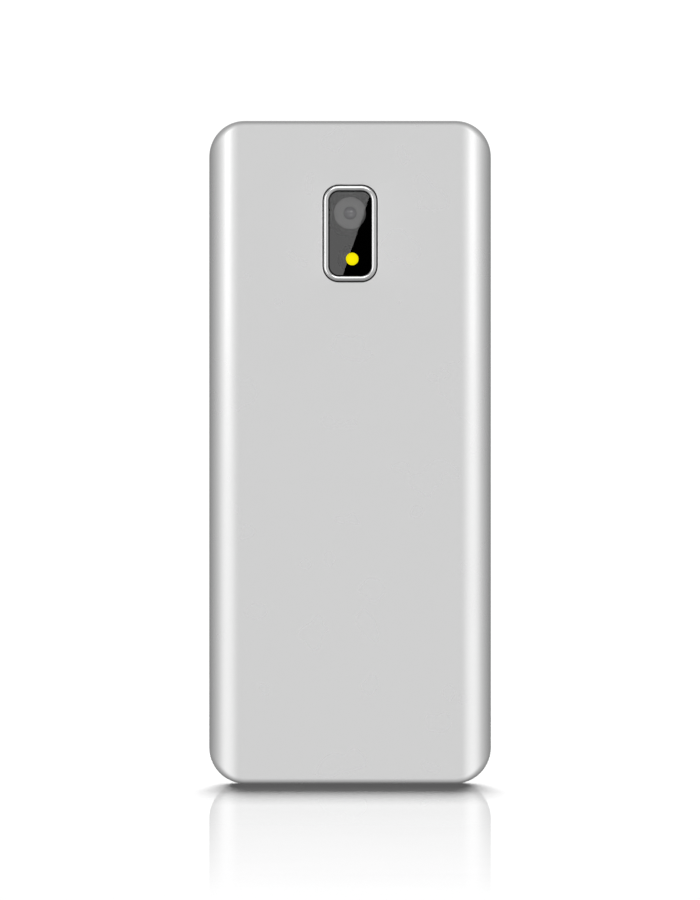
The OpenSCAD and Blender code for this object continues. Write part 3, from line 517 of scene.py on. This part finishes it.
def display_glass():
    """Dark switched-off display with its grid of colour dots."""
    made, g = material("lcd_glass")
    dot, colour_dot = 0.153, 0.051
    place = g.millimetres()
    at_dot = g.parts(place)
    rows = g.stripes(at_dot["Z"], pitch=dot, share=0.16)
    columns = g.stripes(at_dot["X"], pitch=colour_dot, share=0.22)
    lines = g.math("MAXIMUM", rows, columns)
    hue = g.ramp(g.math("FRACT", g.math("DIVIDE", at_dot["X"], dot)), [
        (0.0, (0.017, 0.012, 0.014)), (0.5, (0.011, 0.017, 0.015)), (1.0, (0.011, 0.013, 0.022))])
    cloud = g.tones(g.noise(place, scale=0.06), (0.75, 0.78, 0.85), (1.0, 1.0, 1.0))
    g.principled({
        "Base Color": g.mix(lines, g.vector("MULTIPLY", hue, cloud), (0.006, 0.006, 0.008)),
        "Roughness": g.scaled(lines, 0.0, 1.0, 0.2, 0.26), "IOR": 1.4,
        "Normal": g.bump(g.noise(place, scale=0.3, detail=2.0), depth_mm=0.002, strength=0.1)})
    return made


def traces(name, base, line, metal, step, rough):
    """Laminate with copper tracks in two directions and round pads."""
    made, g = material(name)
    covered, bare, padless, pad_r, cell = 0.42, 0.35, 0.6, step * 0.8, 5 * step
    place = g.millimetres()
    flat = g.parts(place)
    area = g.add("SeparateColor", {0: g.cells(g.stretched(place, 1, 0, 1), scale=0.22)}).outputs
    along_x, along_z = (g.stripes(flat[axis], pitch=step, share=covered) for axis in ("X", "Z"))
    tracks = g.add("Mix", {0: g.math("GREATER_THAN", area[0], 0.5), 2: along_x, 3: along_z}).outputs[0]
    tracks = g.math("MULTIPLY", tracks, g.math("GREATER_THAN", area[1], bare))
    near = g.vector("FRACTION", g.vector("DIVIDE", place, (cell, cell, cell)))
    middle = g.stretched(g.vector("SUBTRACT", near, (0.5, 0.5, 0.5)), cell, 0, cell)
    which = g.vector("FLOOR", g.vector("DIVIDE", place, (cell, 1000.0, cell)))
    chance = g.add("TexWhiteNoise", {"Vector": which}).outputs["Value"]
    pads = g.math("MULTIPLY", g.math("LESS_THAN", g.vector("LENGTH", middle), pad_r),
                  g.math("GREATER_THAN", chance, padless))
    cloud = g.noise(place, scale=0.4)
    colour = g.mix(g.between(cloud, 0.0, 1.0), base, tuple(c * 1.4 for c in base))
    g.principled({
        "Base Color": g.mix(pads, g.mix(tracks, colour, line), metal),
        "Metallic": g.math("MULTIPLY", pads, 0.9), "Roughness": g.between(cloud, *rough),
        "Normal": g.bump(g.math("MAXIMUM", tracks, pads), depth_mm=0.03, strength=0.6)})
    return made


def dome_film():
    """Clear film, with bright steel where the snap domes stand up."""
    made, g = material("dome_film")
    least_rise = 0.01
    place = g.millimetres()
    raised = g.math("LESS_THAN", g.parts(place)["Y"], FRONT_Y + FILM_FRONT - least_rise)
    fine = g.noise(g.stretched(place, 1, 1, 6), scale=3.0)
    steel = g.tones(fine, (0.56, 0.56, 0.57), (0.70, 0.70, 0.71))
    film = g.tones(g.noise(place, scale=0.8), (0.55, 0.60, 0.68), (0.66, 0.71, 0.78))
    g.principled({
        "Base Color": g.mix(raised, film, steel), "Metallic": raised, "Roughness": g.between(fine, 0.2, 0.34),
        "Normal": g.bump(fine, depth_mm=0.006, strength=0.5)})
    return made


def battery_wrap():
    """Silver film with fine creases between dark moulded ends."""
    made, g = material("battery_shell")
    high_end, low_end, seam_step, seam_share = 4.2, 2.4, 46.0, 0.006
    place = g.millimetres()
    z = g.parts(place)["Z"]
    ends = g.math("MAXIMUM", g.math("GREATER_THAN", z, BATTERY_HIGH - high_end),
                  g.math("LESS_THAN", z, BATTERY_LOW + low_end))
    seam = g.stripes(g.math("SUBTRACT", z, BATTERY_LOW + low_end), pitch=seam_step, share=seam_share)
    crease = g.noise(g.stretched(place, 0.35, 1, 1.2), scale=1.1, detail=5.0, rough=0.6)
    film = g.tones(crease, (0.60, 0.61, 0.62), (0.74, 0.75, 0.76))
    film = g.mix(seam, film, (0.3, 0.3, 0.31))
    shell = g.tones(g.noise(place, scale=6.0), (0.016, 0.016, 0.018), (0.028, 0.028, 0.03))
    g.principled({
        "Base Color": g.mix(ends, film, shell), "Metallic": g.scaled(ends, 0.0, 1.0, 0.55, 0.0),
        "Roughness": g.math("ADD", g.between(crease, 0.3, 0.42), g.math("MULTIPLY", ends, 0.15)),
        "Normal": g.bump(crease, depth_mm=0.02, strength=0.35)})
    return made


def ported(name, dark, light, port):
    """Metal can whose sound port is painted near black and bare of metal: painted shade standing for the
    opening.
    """
    made, g = material(name)
    place = g.millimetres()
    grain = g.noise(g.stretched(place, 1, 1, 0.1), scale=5.0)
    # The port is a near-black patch: painted shade where an opening would be.
    hole = port(g, place)
    g.principled({
        "Base Color": g.mix(hole, g.tones(grain, dark, light), (0.003, 0.003, 0.003)),
        "Metallic": g.math("SUBTRACT", 1.0, hole), "Roughness": g.between(grain, 0.25, 0.4),
        "Normal": g.bump(grain, depth_mm=0.005, strength=0.5)})
    return made


def barrel_plastic():
    """Matt camera barrel with faint turned rings around the lens."""
    made, g = material("camera_plastic")
    rings_to_mm = 6.0
    place = g.millimetres()
    rings = g.math("FRACT", g.math("MULTIPLY", g.reach(place, 0, LENS_Z), rings_to_mm))
    grain = g.noise(place, scale=9.0)
    g.principled({
        "Base Color": g.ramp(g.weighed(rings, 0.25, grain, 0.5), [(0.2, 0.124), (0.6, 0.137)]),
        "Roughness": g.between(grain, 0.55, 0.7), "Specular IOR Level": 0.3,
        "Normal": g.bump(rings, depth_mm=0.003, strength=0.3)})
    return made


CAN_TONES = (0.55, 0.55, 0.53), (0.70, 0.70, 0.68)
GOLD_TONES = (0.72, 0.50, 0.16), (0.86, 0.66, 0.27)
FINISHES = {
    "silver_shell": silver_paint(),
    "window_acrylic": printed_glass("window_acrylic", clear=picture_area, mirrored=all_over,
                                    smear=(0.01, 0.035), tint=(0.93, 0.94, 0.95), face=0.0),
    "lcd_glass": display_glass(),
    "polyimide": traces("polyimide", base=(0.40, 0.17, 0.02), line=(0.55, 0.26, 0.05),
                        metal=(0.83, 0.62, 0.22), step=0.5, rough=(0.25, 0.4)),
    "nav_metal": spun_metal(),
    "key_plastic": worn_satin("key_plastic", dark=(0.58, 0.59, 0.60), light=(0.66, 0.67, 0.68),
                              rough=(0.32, 0.42), metallic=0.5),
    "dome_film": dome_film(),
    "board_laminate": traces("board_laminate", base=(0.008, 0.075, 0.032), line=(0.02, 0.13, 0.06),
                             metal=(0.80, 0.62, 0.26), step=0.3, rough=(0.3, 0.42)),
    "camera_plastic": barrel_plastic(),
    # The camera glass mirrors nothing along its edge by the ring, a painted shade line.
    "camera_glass": printed_glass("camera_glass", clear=lens_holes, mirrored=shine_inside_painted_shade_edge,
                                  smear=(0.0, 0.004), tint=(0.97, 0.97, 0.97), face=GLASS_TOP),
    "battery_shell": battery_wrap(),
}

# Plainer finishes: dark and light tone, roughness, the grain's pitch and depth in millimetres, and the rest

STEEL = {"metallic": 1.0, "blotch": 0.5}
SOFT = {"sockets": {"Subsurface Weight": 0.3, "Subsurface Scale": 0.001}}
# Settings for a piece that glows though it is no lamp: painted light.
PAINTED_GLOW_FLASH = {"glow": 0.575, "sockets": {"Specular IOR Level": 0.0}}
for name, dark, light, rough, grain, rest in (
        ("tray_white", (0.70, 0.70, 0.69), (0.80, 0.80, 0.79), (0.4, 0.55), (0.15, 0.008), {}),
        ("mesh_steel", (0.42, 0.42, 0.43), (0.54, 0.54, 0.55), (0.3, 0.45), (0.06, 0.006), STEEL),
        ("can_steel", *CAN_TONES, (0.24, 0.4), (0.12, 0.006), {"stretch": (1, 1, 0.06), **STEEL}),
        ("dark_plastic", (0.028, 0.028, 0.03), (0.045, 0.045, 0.048), (0.4, 0.55), (0.1, 0.01), {}),
        ("silicone", (0.60, 0.61, 0.64), (0.72, 0.73, 0.76), (0.5, 0.65), (0.3, 0.01), SOFT),
        ("black_plastic", (0.010, 0.010, 0.011), (0.018, 0.018, 0.019), (0.45, 0.6), (0.12, 0.01), {}),
        ("boot_rubber", (0.012, 0.012, 0.012), (0.024, 0.024, 0.024), (0.6, 0.8), (0.08, 0.012), {}),
        ("contact_gold", *GOLD_TONES, (0.18, 0.34), (0.08, 0.004), {"stretch": (1, 1, 0.15), **STEEL}),
        ("lens_glass", (0.044, 0.043, 0.050), (0.054, 0.054, 0.060), (0.02, 0.03), (0.6, 0.00004),
         {"ior": 1.25}),
        ("ring_chrome", (0.50, 0.50, 0.50), (0.55, 0.55, 0.55), (0.18, 0.24), (0.06, 0.001),
         {"metallic": 1.0}),
        ("led_ceramic", (0.76, 0.75, 0.70), (0.86, 0.85, 0.80), (0.35, 0.5), (0.1, 0.006), {}),
        # The flash glows in its own yellow though it is no lamp: painted light.
        ("flash_yellow", (0.93, 0.80, 0.001), (0.97, 0.845, 0.003), (0.4, 0.5), (0.12, 0.003), PAINTED_GLOW_FLASH),
        ("antenna_copper", (0.52, 0.25, 0.12), (0.70, 0.38, 0.20), (0.26, 0.42), (0.15, 0.006), STEEL),
        ("weight_steel", (0.22, 0.22, 0.23), (0.34, 0.34, 0.35), (0.4, 0.6), (0.05, 0.02), STEEL),
        ("screw_steel", (0.20, 0.20, 0.21), (0.32, 0.32, 0.33), (0.25, 0.42), (0.04, 0.006),
         {"stretch": (0.2, 1, 1), **STEEL}),
        ("legend_ink", (0.030, 0.031, 0.034), (0.045, 0.046, 0.050), (0.4, 0.5), (0.06, 0.002), {}),
        ("call_green", (0.010, 0.27, 0.055), (0.020, 0.36, 0.080), (0.35, 0.45), (0.06, 0.002), {}),
        ("end_red", (0.44, 0.014, 0.012), (0.56, 0.025, 0.020), (0.35, 0.45), (0.06, 0.002), {}),
        ("cover_inside", (0.42, 0.425, 0.43), (0.48, 0.485, 0.49), (0.5, 0.62), (0.25, 0.012),
         {"blotch": 0.12})):
    FINISHES[name] = finish(name, dark, light, rough, grain, **rest)
# Each can's port is painted near black, as painted shade for its opening.
PORTED = {
    "speaker": ported("speaker_can", *CAN_TONES,
                      lambda g, place: g.panel(place, EAR_Z, EAR_W, EAR_H, EAR_CORNER)),
    "microphone": ported("microphone_can", *GOLD_TONES,
                         lambda g, place: g.spot(place, MIC_X, MIC_Z, MIC_PORT_R)),
}
for part in frame["record"]["subparts"]:
    mesh = NODES[part["node"]].data
    mesh.materials.clear()
    mesh.materials.append(PORTED.get(part["node"]) or FINISHES[part["material_slot"]])


# Mesh pieces

SHARP_DEGREES = 35


def at(x, depth, z):
    return (x * MM, (FRONT_Y + depth) * MM, z * MM)


def loop(w, h, r, steps=8, runs=(1, 1)):
    """Points around a rounded rectangle with their outward directions; runs are the parts of its long and
    short sides."""
    points = []
    corners = ((1, -1, 270), (1, 1, 0), (-1, 1, 90), (-1, -1, 180))
    for k, (sx, sz, start) in enumerate(corners):
        cx, cz = sx * (w / 2 - r), sz * (h / 2 - r)
        for i in range(steps + 1):
            a = math.radians(start + 90 * i / steps)
            points.append((cx + r * math.cos(a), cz + r * math.sin(a), math.cos(a), math.sin(a)))
        sx2, sz2, start2 = corners[(k + 1) % 4]
        a = math.radians(start2)
        x1, z1 = sx2 * (w / 2 - r) + r * math.cos(a), sz2 * (h / 2 - r) + r * math.sin(a)
        x0, z0, nx, nz = points[-1]
        parts = runs[k % 2]
        for i in range(1, parts):
            t = i / parts
            points.append((x0 + (x1 - x0) * t, z0 + (z1 - z0) * t, nx, nz))
    return points


def round_loop(r, steps=28):
    turns = [2 * math.pi * i / steps for i in range(steps)]
    return [(r * math.cos(a), r * math.sin(a)) for a in turns]


def quarter(steps):
    """Angles of a quarter turn."""
    return [math.radians(90 * i / steps) for i in range(steps + 1)]


def half_round(x, depth, r, tall):
    """Section of a half-round bead: across and in depth."""
    turns = [math.radians(a) for a in range(0, 181, 20)]
    return [(x + tall * math.sin(a), depth - r * math.cos(a)) for a in turns]


class Builder:
    """Collects closed rings of points and the faces between them, with the finish of one side."""

    def __init__(self):
        self.bm = bmesh.new()
        self.side = 0

    def ring(self, points):
        return [self.bm.verts.new(p) for p in points]

    def wall(self, a, b):
        n = len(a)
        for i in range(n):
            self.face((a[i], a[(i + 1) % n], b[(i + 1) % n], b[i]))

    def face(self, corners):
        self.bm.faces.new(corners).material_index = self.side

    def stack(self, rings):
        """Joins rings one after another."""
        made = [self.ring(r) for r in rings]
        for a, b in zip(made, made[1:]):
            self.wall(a, b)
        return made

    def prism(self, rings):
        made = self.stack(rings)
        self.face(made[0])
        self.face(made[-1])

    def fill(self, *rings):
        """Flat face between an outer ring and the rings of its holes."""
        edges = []
        for ring in rings:
            n = len(ring)
            for i in range(n):
                pair = (ring[i], ring[(i + 1) % n])
                edges.append(self.bm.edges.get(pair) or self.bm.edges.new(pair))
        made = bmesh.ops.triangle_fill(self.bm, edges=edges, use_beauty=True)
        for part in made["geom"]:
            if isinstance(part, bmesh.types.BMFace):
                part.material_index = self.side

    def piece(self, name, body, finish_name, nodes=(), slot=None):
        bmesh.ops.recalc_face_normals(self.bm, faces=self.bm.faces[:])
        mesh = bpy.data.meshes.new(name)
        self.bm.to_mesh(mesh)
        self.bm.free()
        return add_piece(name, mesh, body, finish_name, nodes)


def add_piece(name, mesh, body, finish_name, nodes=()):
    mesh.materials.append(FINISHES[finish_name])
    mesh.shade_smooth()
    mesh.set_sharp_from_angle(angle=math.radians(SHARP_DEGREES))
    made = bpy.data.objects.new(name, mesh)
    SCENE.collection.objects.link(made)
    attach(made, body)
    if nodes:
        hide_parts(*nodes)
    return made


# Back cover

OUTLINE_STEPS, OUTLINE_RUNS, HOLE_STEPS, BRIM_STEPS = 20, (16, 12), 10, 6
OUTER_STEPS, INNER_STEPS = 24, 12


def roll(x, radius):
    """How far the rolled long sides fall from the flat back."""
    over = abs(x) - (BODY_W / 2 - ROLL_R)
    return 0.0 if over <= 0 else radius - math.sqrt(max(radius * radius - over * over, 0.0))


def edge_fall(inset, radius):
    """How far a rounded edge falls at a distance from the outline."""
    if radius <= 0 or inset >= radius:
        return 0.0
    return radius - math.sqrt(radius * radius - (radius - inset) ** 2)


def cover_rings(outline, wall, radius, edge, steps):
    """Rings of the rolled shell from its outline to the flat."""
    insets = [wall + radius * (1 - math.cos(turn)) for turn in quarter(steps)]
    rings = []
    for inset in insets + [insets[-1] + FLAT_STEP]:
        ring = []
        for x, z, nx, nz in outline:
            px, pz = x - nx * inset, z - nz * inset
            fall = wall + roll(px, radius) + edge_fall(inset - wall, edge * (abs(nz) + abs(nx * nz)))
            fall = min(fall, wall + radius - RIM_BAND)
            ring.append(at(px, BODY_D - fall, BODY_H / 2 + pz))
        rings.append(ring)
    return rings


def cover_tabs(b):
    """Tabs inside both long sides, each with a snap bead."""
    section = ((TAB_IN, TAB_D + TAB_TIP), (TAB_IN + TAB_TIP, TAB_D), (TAB_OUT - TAB_EDGE, TAB_D),
               (TAB_OUT, TAB_D + TAB_EDGE), (TAB_OUT, TAB_ROOT_OUT), (TAB_IN, TAB_ROOT_IN))
    bead = half_round(TAB_OUT - BEAD_SINK, BEAD_D, BEAD_R, BEAD_R + BEAD_SINK)
    for s in (-1, 1):
        for z in TAB_Z:
            for shape, length in ((section, TAB_LEN), (bead, BEAD_LEN)):
                b.prism([[at(s * x, d, z + e * length / 2) for x, d in shape] for e in (-1, 1)])


def cover_lip(b, outline):
    """Thin lip inside the cover's rim that reaches into the front housing."""
    section = ((LIP_ROOT, LIP_RISES["outer_root"]), (LIP_OUT, LIP_RISES["rim"]), (LIP_OUT, -LIP_REACH),
               (LIP_IN, -LIP_REACH), (LIP_IN, LIP_RISES["inner"]), (LIP_ROOT, LIP_RISES["inner_root"]))
    made = b.stack([cover_line(outline, inset, PARTING_D + rise) for inset, rise in section])
    b.wall(made[-1], made[0])


def cover_line(outline, inset, depth):
    return [at(x - nx * inset, depth, BODY_H / 2 + z - nz * inset) for x, z, nx, nz in outline]


def back_cover():
    """Painted outside, then the bare inside with its tabs and lip."""
    b = Builder()
    outline = loop(BODY_W, BODY_H, CORNER_R, OUTLINE_STEPS, OUTLINE_RUNS)
    outer = b.stack(cover_rings(outline, 0.0, ROLL_R, END_R, OUTER_STEPS))
    rim = b.ring(cover_line(outline, 0.0, PARTING_D))
    lip = b.ring(cover_line(outline, COVER_WALL, PARTING_D))
    b.wall(outer[0], rim)
    b.wall(rim, lip)
    hole = loop(RING_W + 2 * RING_GAP, RING_H + 2 * RING_GAP, RING_CORNER + RING_GAP, HOLE_STEPS)
    edge = []
    for turn in quarter(BRIM_STEPS):
        out, fall = BRIM * (1 - math.sin(turn)), BRIM * (1 - math.cos(turn))
        edge.append([at(x + nx * out, BODY_D - fall, RING_Z + z + nz * out) for x, z, nx, nz in hole])
    edge.append([at(x, COVER_IN, RING_Z + z) for x, z, _, _ in hole])
    cut = b.stack(edge)
    b.fill(outer[-1], cut[0])
    b.side = 1
    inner = b.stack(cover_rings(outline, COVER_WALL, ROLL_R - COVER_WALL, INNER_EDGE_R, INNER_STEPS))
    b.wall(lip, inner[0])
    b.fill(inner[-1], cut[-1])
    cover_tabs(b)
    cover_lip(b, outline)
    made = b.piece("back_cover_shell", "back_cover", "silver_shell", ["back_cover"])
    made.data.materials.append(FINISHES["cover_inside"])
    return made


# Keys with crowned caps, and their printed marks

FILLET_STEPS, CROWN_STEPS, NAV_STEPS = 5, 8, 10
NUMERAL_SIZE, NUMERAL_HALF, NUMERAL_CURVES = 3.9, 0.05, 5
STAR_REACH, STAR_WIDTH = 1.2, 0.42
BAR_W, BAR_H, BAR_R, BAR_STEPS = 3.4, 0.5, 0.24, 5
ONE_LEFT = -0.02
ONE = ((0, -1.38), (0.34, -1.38), (0.34, 1.38), (0, 1.38), (-0.72, 0.88), (-0.56, 0.60), (0, 0.96))
NAV_TIP = ((0.55, 0.0), (-0.3, 0.6), (-0.3, -0.6))
# The handset sign: radius, drop and half angle of its bow, half width of the grip and of its swollen ends,
# where the ends begin and are full, and the shares of the width outside and inside the bow
BOW_R, BOW_DROP, BOW_ANGLE, BOW_STEPS = 2.15, 1.55, 62, 24
GRIP, SWELL, SWELL_FROM, SWELL_OVER = 0.26, 0.30, 0.55, 0.2
BOW_OUT, BOW_IN = 0.55, 1.25
CALL_TILT, CALL_UP, END_TILT, END_UP = -35, 0.1, 0, -0.35


class Crown:
    """Top of one key: a low crown that falls towards its edges."""

    def __init__(self, x, z, w, h, r):
        self.x, self.z, self.w, self.h, self.r = x, z, w, h, r

    def fall(self, inset):
        share = (inset - KEY_EDGE) / (self.h / 2 - KEY_EDGE)
        return TOP_D + KEY_CROWN * (1 - min(max(share, 0.0), 1.0)) ** 2

    def outline(self, inset, depth):
        points = loop(self.w - 2 * inset, self.h - 2 * inset, max(self.r - inset, LEAST_R))
        return [at(self.x + x, depth, self.z + z) for x, z, _, _ in points]

    def rings(self):
        """From the middle of the top to the lower end of the edge."""
        deepest = self.h / 2 - MIDDLE
        rings = []
        for i in range(CROWN_STEPS):
            inset = deepest + (KEY_EDGE - deepest) * i / CROWN_STEPS
            rings.append(self.outline(inset, self.fall(inset)))
        for turn in quarter(FILLET_STEPS):
            inset, down = KEY_EDGE * (1 - math.sin(turn)), KEY_EDGE * (1 - math.cos(turn))
            rings.append(self.outline(inset, self.fall(0) + down))
        return rings


def pin_rings(x, z, r, low, high):
    """Rings of a round pin with a broken edge at its far end."""
    sizes = ((r, low), (r, high - PLUNGER_EDGE), (r - PLUNGER_EDGE, high))
    return [[at(x + px, depth, z + pz) for px, pz in round_loop(size)] for size, depth in sizes]


def press_key(name, crown, rest, flange_t):
    """Crowned cap, flange and plunger of one key."""
    b = Builder()
    back = rest + flange_t
    lower = [crown.outline(0, rest), crown.outline(-FLANGE, rest), crown.outline(-FLANGE, back)]
    made = b.stack(crown.rings() + lower)
    b.face(made[0])
    stem = b.stack(pin_rings(crown.x, crown.z, PLUNGER_R, back, PLUNGER_END))
    b.fill(made[-1], stem[0])
    b.face(stem[-1])
    return b.piece(name + "_cap", name, "key_plastic", [name])


def mark(name, body, points, finish_name):
    """Thin raised print on the top of a key."""
    b = Builder()
    b.prism([[at(x, depth, z) for x, z in points] for depth in (-KEY_PROUD, INK_BACK)])
    return b.piece(name, body, finish_name, slot="dark_plastic")


def numeral(name, body, crown, text):
    """A number in the middle of a key."""
    curve = bpy.data.curves.new(name, "FONT")
    curve.body = text
    curve.size = NUMERAL_SIZE * MM
    curve.extrude = NUMERAL_HALF * MM
    curve.resolution_u = NUMERAL_CURVES
    holder = bpy.data.objects.new(name + "_line", curve)
    SCENE.collection.objects.link(holder)
    mesh = bpy.data.meshes.new_from_object(holder.evaluated_get(bpy.context.evaluated_depsgraph_get()))
    bpy.data.objects.remove(holder)
    bpy.data.curves.remove(curve)
    xs, zs = [v.co.x for v in mesh.vertices], [v.co.y for v in mesh.vertices]
    middle = ((min(xs) + max(xs)) / 2, (min(zs) + max(zs)) / 2)
    for v in mesh.vertices:
        x, z = crown.x + (v.co.x - middle[0]) / MM, crown.z + (v.co.y - middle[1]) / MM
        v.co = at(x, -KEY_PROUD if v.co.z > 0 else INK_BACK, z)
    mesh.name = name
    return add_piece(name, mesh, body, "legend_ink")


def handset(x, z, tilt):
    """Outline of a plain handset sign."""
    outer, inner = [], []
    drop = BOW_DROP * math.cos(math.radians(tilt))
    for i in range(BOW_STEPS + 1):
        t = 2 * i / BOW_STEPS - 1
        half = GRIP + SWELL * min(max((abs(t) - SWELL_FROM) / SWELL_OVER, 0.0), 1.0)
        a = math.radians(90 + BOW_ANGLE * t + tilt)
        for r, line in ((BOW_R + half * BOW_OUT, outer), (BOW_R - half * BOW_IN, inner)):
            line.append((x + r * math.cos(a), z + r * math.sin(a) - drop))
    return outer + inner[::-1]


def star(x, z):
    """Outline of a six-armed star."""
    points = []
    for arm in range(6):
        a = math.radians(90 - 60 * arm)
        along, aside = (math.cos(a), math.sin(a)), (-math.sin(a), math.cos(a))
        for side in (STAR_WIDTH / 2, -STAR_WIDTH / 2):
            points.append((x + along[0] * STAR_REACH + aside[0] * side,
                           z + along[1] * STAR_REACH + aside[1] * side))
        between = a - math.radians(30)
        points.append((x + STAR_WIDTH * math.cos(between), z + STAR_WIDTH * math.sin(between)))
    return points


def one(x, z):
    """Outline of the number one with its flag."""
    return [(x + ONE_LEFT + px, z + pz) for px, pz in ONE]


def bar(x, z):
    return [(x + px, z + pz) for px, pz, _, _ in loop(BAR_W, BAR_H, BAR_R, BAR_STEPS)]


def nav_depth(t):
    """Depth of the ring's crown, from its outer edge at 0 to its inner edge at 1."""
    return TOP_D + NAV_CROWN * (2 * t - 1) ** 2


def navigation_ring():
    """Crowned ring around the centre key, with its nubs and rocking ridges."""
    b = Builder()
    outer = loop(NAV_W, NAV_H, NAV_CORNER, NAV_STEPS)
    inner = loop(OK_W + 2 * NAV_GAP, OK_H + 2 * NAV_GAP, OK_CORNER + NAV_GAP, NAV_STEPS)

    def offset(points, inset, depth):
        return [at(x - nx * inset, depth, NAV_Z + z - nz * inset) for x, z, nx, nz in points]

    low = nav_depth(0.0)
    rings = [offset(outer, -FLANGE, NAV_BACK), offset(outer, -FLANGE, NAV_REST), offset(outer, 0, NAV_REST)]
    turns = quarter(FILLET_STEPS)
    for a in reversed(turns):
        rings.append(offset(outer, KEY_EDGE * (1 - math.sin(a)), low + KEY_EDGE * (1 - math.cos(a))))
    start, end = offset(outer, KEY_EDGE, 0), offset(inner, -KEY_EDGE, 0)
    for i in range(1, CROWN_STEPS):
        t = i / CROWN_STEPS
        ring = []
        for p, q in zip(start, end):
            x, z = p[0] + (q[0] - p[0]) * t, p[2] + (q[2] - p[2]) * t
            ring.append((x, (FRONT_Y + nav_depth(t)) * MM, z))
        rings.append(ring)
    for a in turns:
        rings.append(offset(inner, -KEY_EDGE * (1 - math.sin(a)), low + KEY_EDGE * (1 - math.cos(a))))
    rings.append(offset(inner, 0, NAV_BACK))
    made = b.stack(rings)
    b.wall(made[-1], made[0])
    bow = range(0, 181, 20)
    ridge = [(RIDGE_R * math.cos(math.radians(a)),
              NAV_BACK - RIDGE_SINK + (RIDGE_R + RIDGE_SINK) * math.sin(math.radians(a))) for a in bow]
    for s in (-1, 1):
        b.prism(pin_rings(s * NUB_X, NAV_Z, NUB_R, NAV_BACK - NUB_SINK, PLUNGER_END))
        b.prism([[at(x, d, NAV_Z + s * RIDGE_Z + e * RIDGE_LEN / 2) for x, d in ridge] for e in (-1, 1)])
    return b.piece("navigation_ring_crown", "navigation_ring", "nav_metal", ["navigation_ring"])


# Front lens of the camera

LENS_EDGE, LENS_SIDES, LENS_STEPS, LENS_SPAN = 0.02, 40, 8, 88


def camera_lens():
    """Domed front lens."""
    b = Builder()
    full = LENS_R - LENS_EDGE
    rings = [[at(x, LENS_BACK, LENS_Z + z) for x, z in round_loop(full, LENS_SIDES)]]
    for i in range(LENS_STEPS + 1):
        r = full * math.cos(math.radians(LENS_SPAN * i / LENS_STEPS))
        sag = LENS_CURVE - math.sqrt(LENS_CURVE ** 2 - r * r)
        rings.append([at(x, LENS_TOP - sag, LENS_Z + z) for x, z in round_loop(r, LENS_SIDES)])
    b.prism(rings)
    return b.piece("camera_lens_dome", "phone", "lens_glass", ["camera_lens"])


# All pieces; those of the front are lit together

DIGITS = (("1", "2", "3"), ("4", "5", "6"), ("7", "8", "9"), ("star", "0", "hash"))
SIDE_KEYS = (("soft_key_left", -1, SIDE_ROWS[0]), ("soft_key_right", 1, SIDE_ROWS[0]),
             ("call_key", -1, SIDE_ROWS[1]), ("end_key", 1, SIDE_ROWS[1]))
NAV_MARKS = ((0, 1), (0, -1), (1, 0), (-1, 0))

cover = back_cover()
lens = camera_lens()
front = [NODES["front_housing"], NODES["earpiece_mesh"]]
for z, row in zip(DIGIT_ROWS, DIGITS):
    for column, digit in enumerate(row):
        crown = Crown((column - 1) * DIGIT_STEP, z, DIGIT_W, DIGIT_H, KEY_CORNER)
        front.append(press_key("key_" + digit, crown, KEY_REST, FLANGE_T))
        name, body = "legend_" + digit, "key_" + digit
        if digit == "1":
            print_piece = mark(name, body, one(crown.x, z), "legend_ink")
        elif digit == "star":
            print_piece = mark(name, body, star(crown.x, z), "legend_ink")
        else:
            print_piece = numeral(name, body, crown, "#" if digit == "hash" else digit)
        front.append(print_piece)
for name, s, z in SIDE_KEYS:
    crown = Crown(s * SIDE_X, z, SIDE_W, SIDE_H, KEY_CORNER)
    front.append(press_key(name, crown, KEY_REST, FLANGE_T))
    if name == "call_key":
        print_piece = mark("call_sign", name, handset(crown.x, z + CALL_UP, CALL_TILT), "call_green")
    elif name == "end_key":
        print_piece = mark("end_sign", name, handset(crown.x, z + END_UP, END_TILT), "end_red")
    else:
        print_piece = mark(name + "_sign", name, bar(crown.x, z), "legend_ink")
    front.append(print_piece)
front.append(press_key("ok_key", Crown(0, NAV_Z, OK_W, OK_H, OK_CORNER), OK_REST, OK_FLANGE_T))
front.append(navigation_ring())
for i, (dx, dz) in enumerate(NAV_MARKS):
    x, z = dx * (OK_W + NAV_W) / 4, NAV_Z + dz * (OK_H + NAV_H) / 4
    points = [(x + dx * a - dz * c, z + dz * a + dx * c) for a, c in NAV_TIP]
    front.append(mark("navigation_sign_%d" % (i + 1), "navigation_ring", points, "legend_ink"))

# Lights on some pieces only: place, target and size in metres, power and pieces. Those on the front stand for
# the pale floor before it and a wide panel above that.

RING_AT, LENS_AT = (0, 0.0075, RING_Z * MM), (0, 0.006, LENS_Z * MM)
ring = NODES["camera_ring"]
for name, place, target, size, power, pieces in (
        ("front_low", (0, -1.03, 0.002), (0, -1.03, 1.0), (3.0, 2.0), 8.5, front),
        ("front_high", (0, -1.6, 0.6), (0, 0, 0.06), (3.2, 1.1), 6.0, front),
        ("ring_top", (0.0, 0.33, RING_AT[2] + 0.38), RING_AT, (0.45, 0.45), 1.7, [ring]),
        ("ring_side", (0.36, 0.36, RING_AT[2]), RING_AT, (0.4, 0.4), 0.8, [ring]),
        ("lens_high", (0, 1.0, LENS_AT[2] + 0.24), LENS_AT, (0.7, 0.1), 2.4, [lens]),
        ("lens_low", (0, 1.0, LENS_AT[2] - 0.24), LENS_AT, (0.7, 0.1), 5.0, [lens]),
        ("left_side", (0.225, 0.205, 0.14), (0.022, 0.005, 0.14), (0.14, 0.12), 0.016, [cover]),
        ("right_side", (-0.225, 0.205, 0.14), (-0.022, 0.005, 0.14), (0.14, 0.12), 0.0125, [cover])):
    area_light(name, place, target, size, power, pieces)
